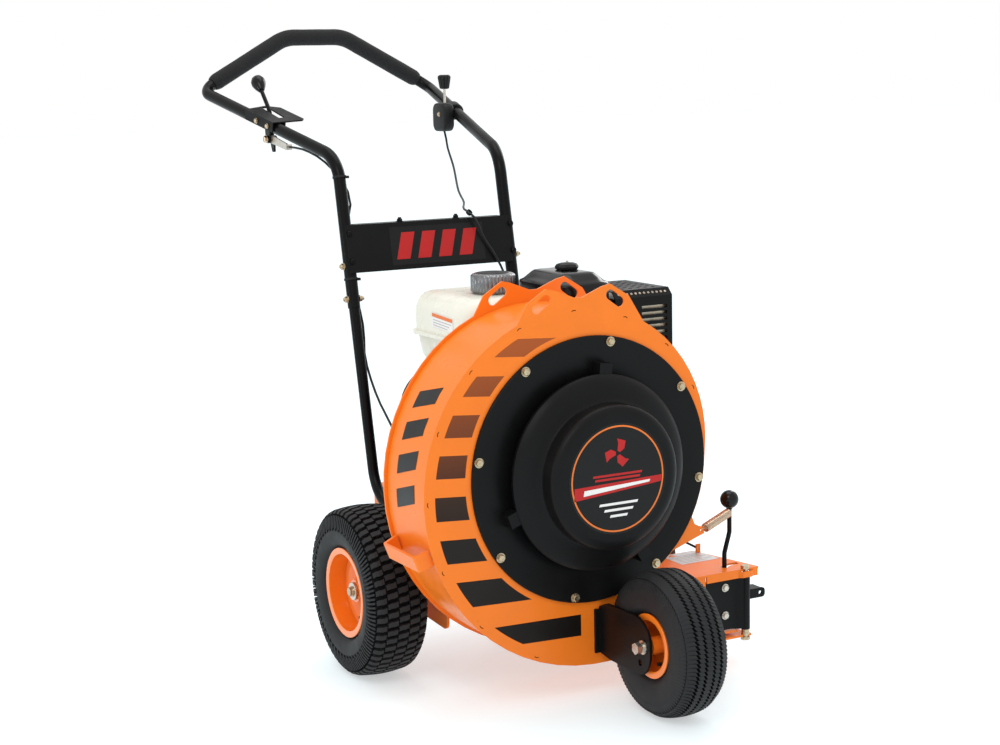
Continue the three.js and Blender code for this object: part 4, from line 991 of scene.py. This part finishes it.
def side_tube(y, side):
    """Centre of the handle's side tube at y; side is -1 for the right one."""
    share = (y - LEG["top_y"]) / (CORNER[1] - LEG["top_y"])
    return Vector((CHASSIS_X + side * (LEG["x"] + share * (CORNER[0] - LEG["x"])), y,
                   LEG["top_z"] + share * (CORNER[2] - LEG["top_z"])))


def handle_tubes():
    half = [(LEG["x"], leg_y(JOINT_Z), JOINT_Z), (LEG["x"], LEG["top_y"], LEG["top_z"], 75), (*CORNER, 38),
            (*TOP_BAR, 90)]
    shape = Shape()
    swept(shape, bent(across(half), 38, 14), TUBE, 32)
    piece("handle_tube", shape, GLOSS, stands_for=["upper_handle"], smooth=50)
    for side, name in ((-1, "lower_leg_right"), (1, "lower_leg_left")):
        x = CHASSIS_X + side * LEG["x"]
        route = [(x, 418, 292), (x, 520, 303), (x, leg_y(JOINT_Z), JOINT_Z - 0.3)]
        leg = Shape()
        swept(leg, bent(route, 85, 12), 11, 28)
        piece(name + "_tube", leg, GLOSS, stands_for=[name], smooth=50)


def grip():
    start = Vector(CORNER).lerp(Vector(TOP_BAR), 0.13)
    route = bent(across([tuple(start), TOP_BAR]), 90, 24)
    dense = []
    for a, b in zip(route, route[1:]):
        steps = max(1, int((b - a).length / 6))
        dense += [a.lerp(b, i / steps) for i in range(steps)]
    dense.append(route[-1])
    radii = [18.4 + 0.35 * noise.noise(p / 26) for p in dense]
    radii[0] = radii[-1] = TUBE + 2.2
    radii[1] = radii[-2] = 17.4
    shape = Shape()
    swept(shape, dense, radii, 36)
    piece("grip_sleeve", shape, FOAM, stands_for=["foam_grip"], smooth=60)


def panel_face(x, z, out=0.0):
    return (x, leg_y(z) - 16.4 - out, z)


def panel_decal():
    """Black print with four red slanted stripes, in place of a name."""
    shape = Shape()

    def bar(x0, x1, z0, z1, out, tint, lean=0):
        corners = [(x0, z0), (x1, z0), (x1 + lean, z1), (x0 + lean, z1)]
        printed(shape, [panel_face(x, z, out) for x, z in corners], (0, -0.25, 0), tint)

    bar(-103, 113, 764, 841, 0.05, 0)
    for k in range(4):
        left = -92 + 48 * k
        bar(left, left + 30, 776, 830, 0.3, 1, lean=16)
    piece("panel_decal", shape, [PRINT_BLACK, PRINT_RED], smooth=20)


def handle_bolts():
    dark = Shape()
    bright = Shape()
    for side in (-1, 1):
        x = CHASSIS_X + side * LEG["x"]
        for z in (702, 768):
            y = leg_y(z)
            hex_bolt(bright, (x - TUBE + 0.4, y, z), (-1, 0, 0), across=11, height=7, washer=7.5, stud=2)
            hex_bolt(bright, (x + TUBE - 0.4, y, z), (1, 0, 0), across=11, height=7, washer=7.5, stud=4)
        for z in (778, 834):
            y = leg_y(z) - 16.4
            hex_bolt(dark, (x, y, z), (0, -1, 0.1), across=10, height=5, washer=7)
    for x in (-71, 59):
        y = leg_y(851) - 4
        hex_bolt(dark, (x, y, 851), (0, 0, 1), across=11, height=6, washer=8, stud=3)
    piece("panel_bolts", dark, GLOSS, smooth=25)
    piece("leg_bolts", bright, BROWN_ZINC, smooth=25)
    ties = Shape()
    for z, side in ((947, -1), (742, -1)):
        x = CHASSIS_X + side * LEG["x"]
        y = leg_y(z)
        turned(ties, (x, y, z), (0, LEG["lean"], 1), ring_profile(TUBE + 0.2, TUBE + 1.6, -2.2, 2.2), 28)
        block(ties, x + 8, x + 16, y - 13, y - 6, z - 2.6, z + 2.6)
    turned(ties, (84, 612, 862), (0.3, -0.7, 0.6), ring_profile(4.2, 6.6, -3, 3), 24)
    piece("cable_ties", ties, PLASTIC)


def console_hardware():
    shape = Shape()
    for y in (884, 926):
        seat = side_tube(y, -1) + Vector((-TUBE - 3.6, 0, 3))
        hex_bolt(shape, seat, (-1, 0, 0), across=9, height=5, washer=6)
    piece("console_bolts", shape, BROWN_ZINC, smooth=25)
    pivot = Vector((-216, 944, 1019.5))
    stay = Shape()
    strap = [(9, -9), (9, 9), (-12, 9), (-96, -8), (-96, -22), (-12, -9)]
    for x in (-8.5, -5.4):
        printed(stay, [(pivot.x + x, pivot.y + y, pivot.z + z) for y, z in strap], (0.4, 0, 0))
    block(stay, pivot.x - 8.5, pivot.x + 4.5, pivot.y - 96.6, pivot.y - 96.1, pivot.z - 21.5, pivot.z - 9.5)
    piece("cable_stay_face", stay, ZINC, smooth=20)
    bolt = Shape()
    hex_bolt(bolt, (pivot.x - 14, pivot.y, pivot.z), (-1, 0, 0), across=13, height=7, washer=8.5)
    piece("lever_pivot_bolt", bolt, SPRING_WIRE, smooth=25)
    screw = Shape()
    hex_bolt(screw, (197.4, 962, 1060), (-1, 0, 0), across=8, height=4, washer=5.5)
    piece("throttle_screw", screw, SPRING_WIRE, smooth=25)


def throttle_housing():
    """Moulded case with round corners, split along its middle, clamped to the left side tube."""
    low, high = node_box("throttle_box")
    y0, y1, z0, z1 = low.y + 0.5, high.y - 0.5, 1021.5, 1085
    shape = Shape()
    front = [(4, 197), (1, 198.5), (0, 201), (0, 209.8)]
    rear = [(0, 210.4), (0, 218), (1, 221.5), (4, 223.5)]
    for half in (front, rear):
        loops = []
        for inset, x in half:
            outline = rounded_rect(y0 + inset, y1 - inset, z0 + inset, z1 - inset, 17 - inset, 8)
            loops.append([(x, y, z) for y, z in outline])
        lofted(shape, loops)
    middle = side_tube(966, 1)
    run = Vector((CORNER[0] - LEG["x"], CORNER[1] - LEG["top_y"], CORNER[2] - LEG["top_z"])).normalized()
    bore = TUBE + 0.3
    ring = [(bore, -14), (18, -14), (18.6, -12), (18.6, 12), (18, 14), (bore, 14), (bore, -14)]
    turned(shape, middle, run, ring, 40)
    block(shape, 222, middle.x - 8, 952, 980, middle.z - 10, middle.z + 10)
    piece("throttle_case", shape, PLASTIC, stands_for=["throttle_box"], smooth=50)


def control_knobs():
    centre = node_centre("throttle_knob")
    low, high = node_box("throttle_knob")
    shape = Shape()
    levels = [(7, low.z), (10.5, low.z + 1.5), (11.5, low.z + 5), (14, high.z - 12), (15, high.z - 6),
              (14, high.z - 2.5), (10, high.z)]
    fluted(shape, centre, levels, 96, lambda r, i, _: r - 1.3 if i % 8 in (0, 1) and r > 11 else r)
    piece("throttle_grip_knob", shape, PLASTIC, body="throttle_lever", stands_for=["throttle_knob"])


# ---- studio ----

def lamp(name, place, aim, size, power, tint=(1, 1, 1)):
    data = bpy.data.lights.new(name, "AREA")
    data.shape = "RECTANGLE"
    data.size, data.size_y = size
    data.energy = power
    data.color = tint
    obj = bpy.data.objects.new(name, data)
    obj.location = place
    obj.rotation_mode = "QUATERNION"
    obj.rotation_quaternion = (Vector(aim) - Vector(place)).to_track_quat("-Z", "Y")
    scene.collection.objects.link(obj)


def studio():
    world = bpy.data.worlds.new("studio")
    world.use_nodes = True
    back = world.node_tree.nodes["Background"]
    back.inputs["Color"].default_value = (1, 1, 1, 1)
    back.inputs["Strength"].default_value = 1.0
    scene.world = world

    mesh = bpy.data.meshes.new("floor")
    reach = 40
    corners = [(-reach, -reach, 0), (reach, -reach, 0), (reach, reach, 0), (-reach, reach, 0)]
    mesh.from_pydata(corners, [], [(0, 1, 2, 3)])
    floor = bpy.data.objects.new("floor", mesh)
    floor.location.z = -0.0005
    # Base tinted cyan to cancel the orange light the housing bounces onto the floor: a painted correction of
    # reflected light. The glow keeps the floor evenly bright.
    floor_finish_with_bounce_tint = finish("floor", (0.54, 0.64, 0.67), 0.9, mottle=0.005, edge=0.1, specular=0.05)
    glow = floor_finish_with_bounce_tint.node_tree.nodes["Principled BSDF"].inputs
    glow["Emission Color"].default_value = (1, 1, 1, 1)
    glow["Emission Strength"].default_value = 0.47
    mesh.materials.append(floor_finish_with_bounce_tint)
    scene.collection.objects.link(floor)

    lamp("key", (-2.2, -2.6, 3.4), (0, 0, 0.5), (1.6, 1.6), 34)
    lamp("side", (-3.0, 0.2, 0.9), (-0.3, 0, 0.3), (0.35, 0.6), 5)
    lamp("top", (0.3, 0.2, 3.6), (0, 0, 0.4), (2.4, 1.6), 30)
    lamp("rim", (2.6, 1.4, 1.9), (0, 0, 0.6), (0.8, 1.8), 22)


def camera():
    """Stands to the machine's front left, a little above the handle's height, looking slightly down."""
    azimuth, elevation, roll = (math.radians(d) for d in (-28.5, 9.1, -1.3))
    data = bpy.data.cameras.new("camera")
    data.sensor_width = 36
    data.lens = 66.32
    data.clip_end = 200
    obj = bpy.data.objects.new("camera", data)
    obj.location = at(-1708.1, -2808, 1139.7)
    back = Vector((math.sin(azimuth) * math.cos(elevation), -math.cos(azimuth) * math.cos(elevation),
                   math.sin(elevation)))
    obj.rotation_mode = "QUATERNION"
    level = (-back).to_track_quat("-Z", "Y")
    obj.rotation_quaternion = Quaternion(back, roll) @ level
    scene.collection.objects.link(obj)
    scene.camera = obj
    scene.render.resolution_x = 1000
    scene.render.resolution_y = 745
    scene.view_settings.view_transform = "Standard"
    scene.view_settings.exposure = 0.0


camera()
finish_nodes()
cover_plate()
cover_bolts()
intake_dish()
dish_label()
plate_stickers()
band_marks()
slot_gap_shade()
discharge_fittings()
gate_spring()
ball_knob()
wheels()
fuel_tank()
fuel_cap()
air_cleaner()
guard_hole_shade_and_highlights()
engine_details()
handle_tubes()
grip()
panel_decal()
handle_bolts()
console_hardware()
throttle_housing()
control_knobs()
studio()
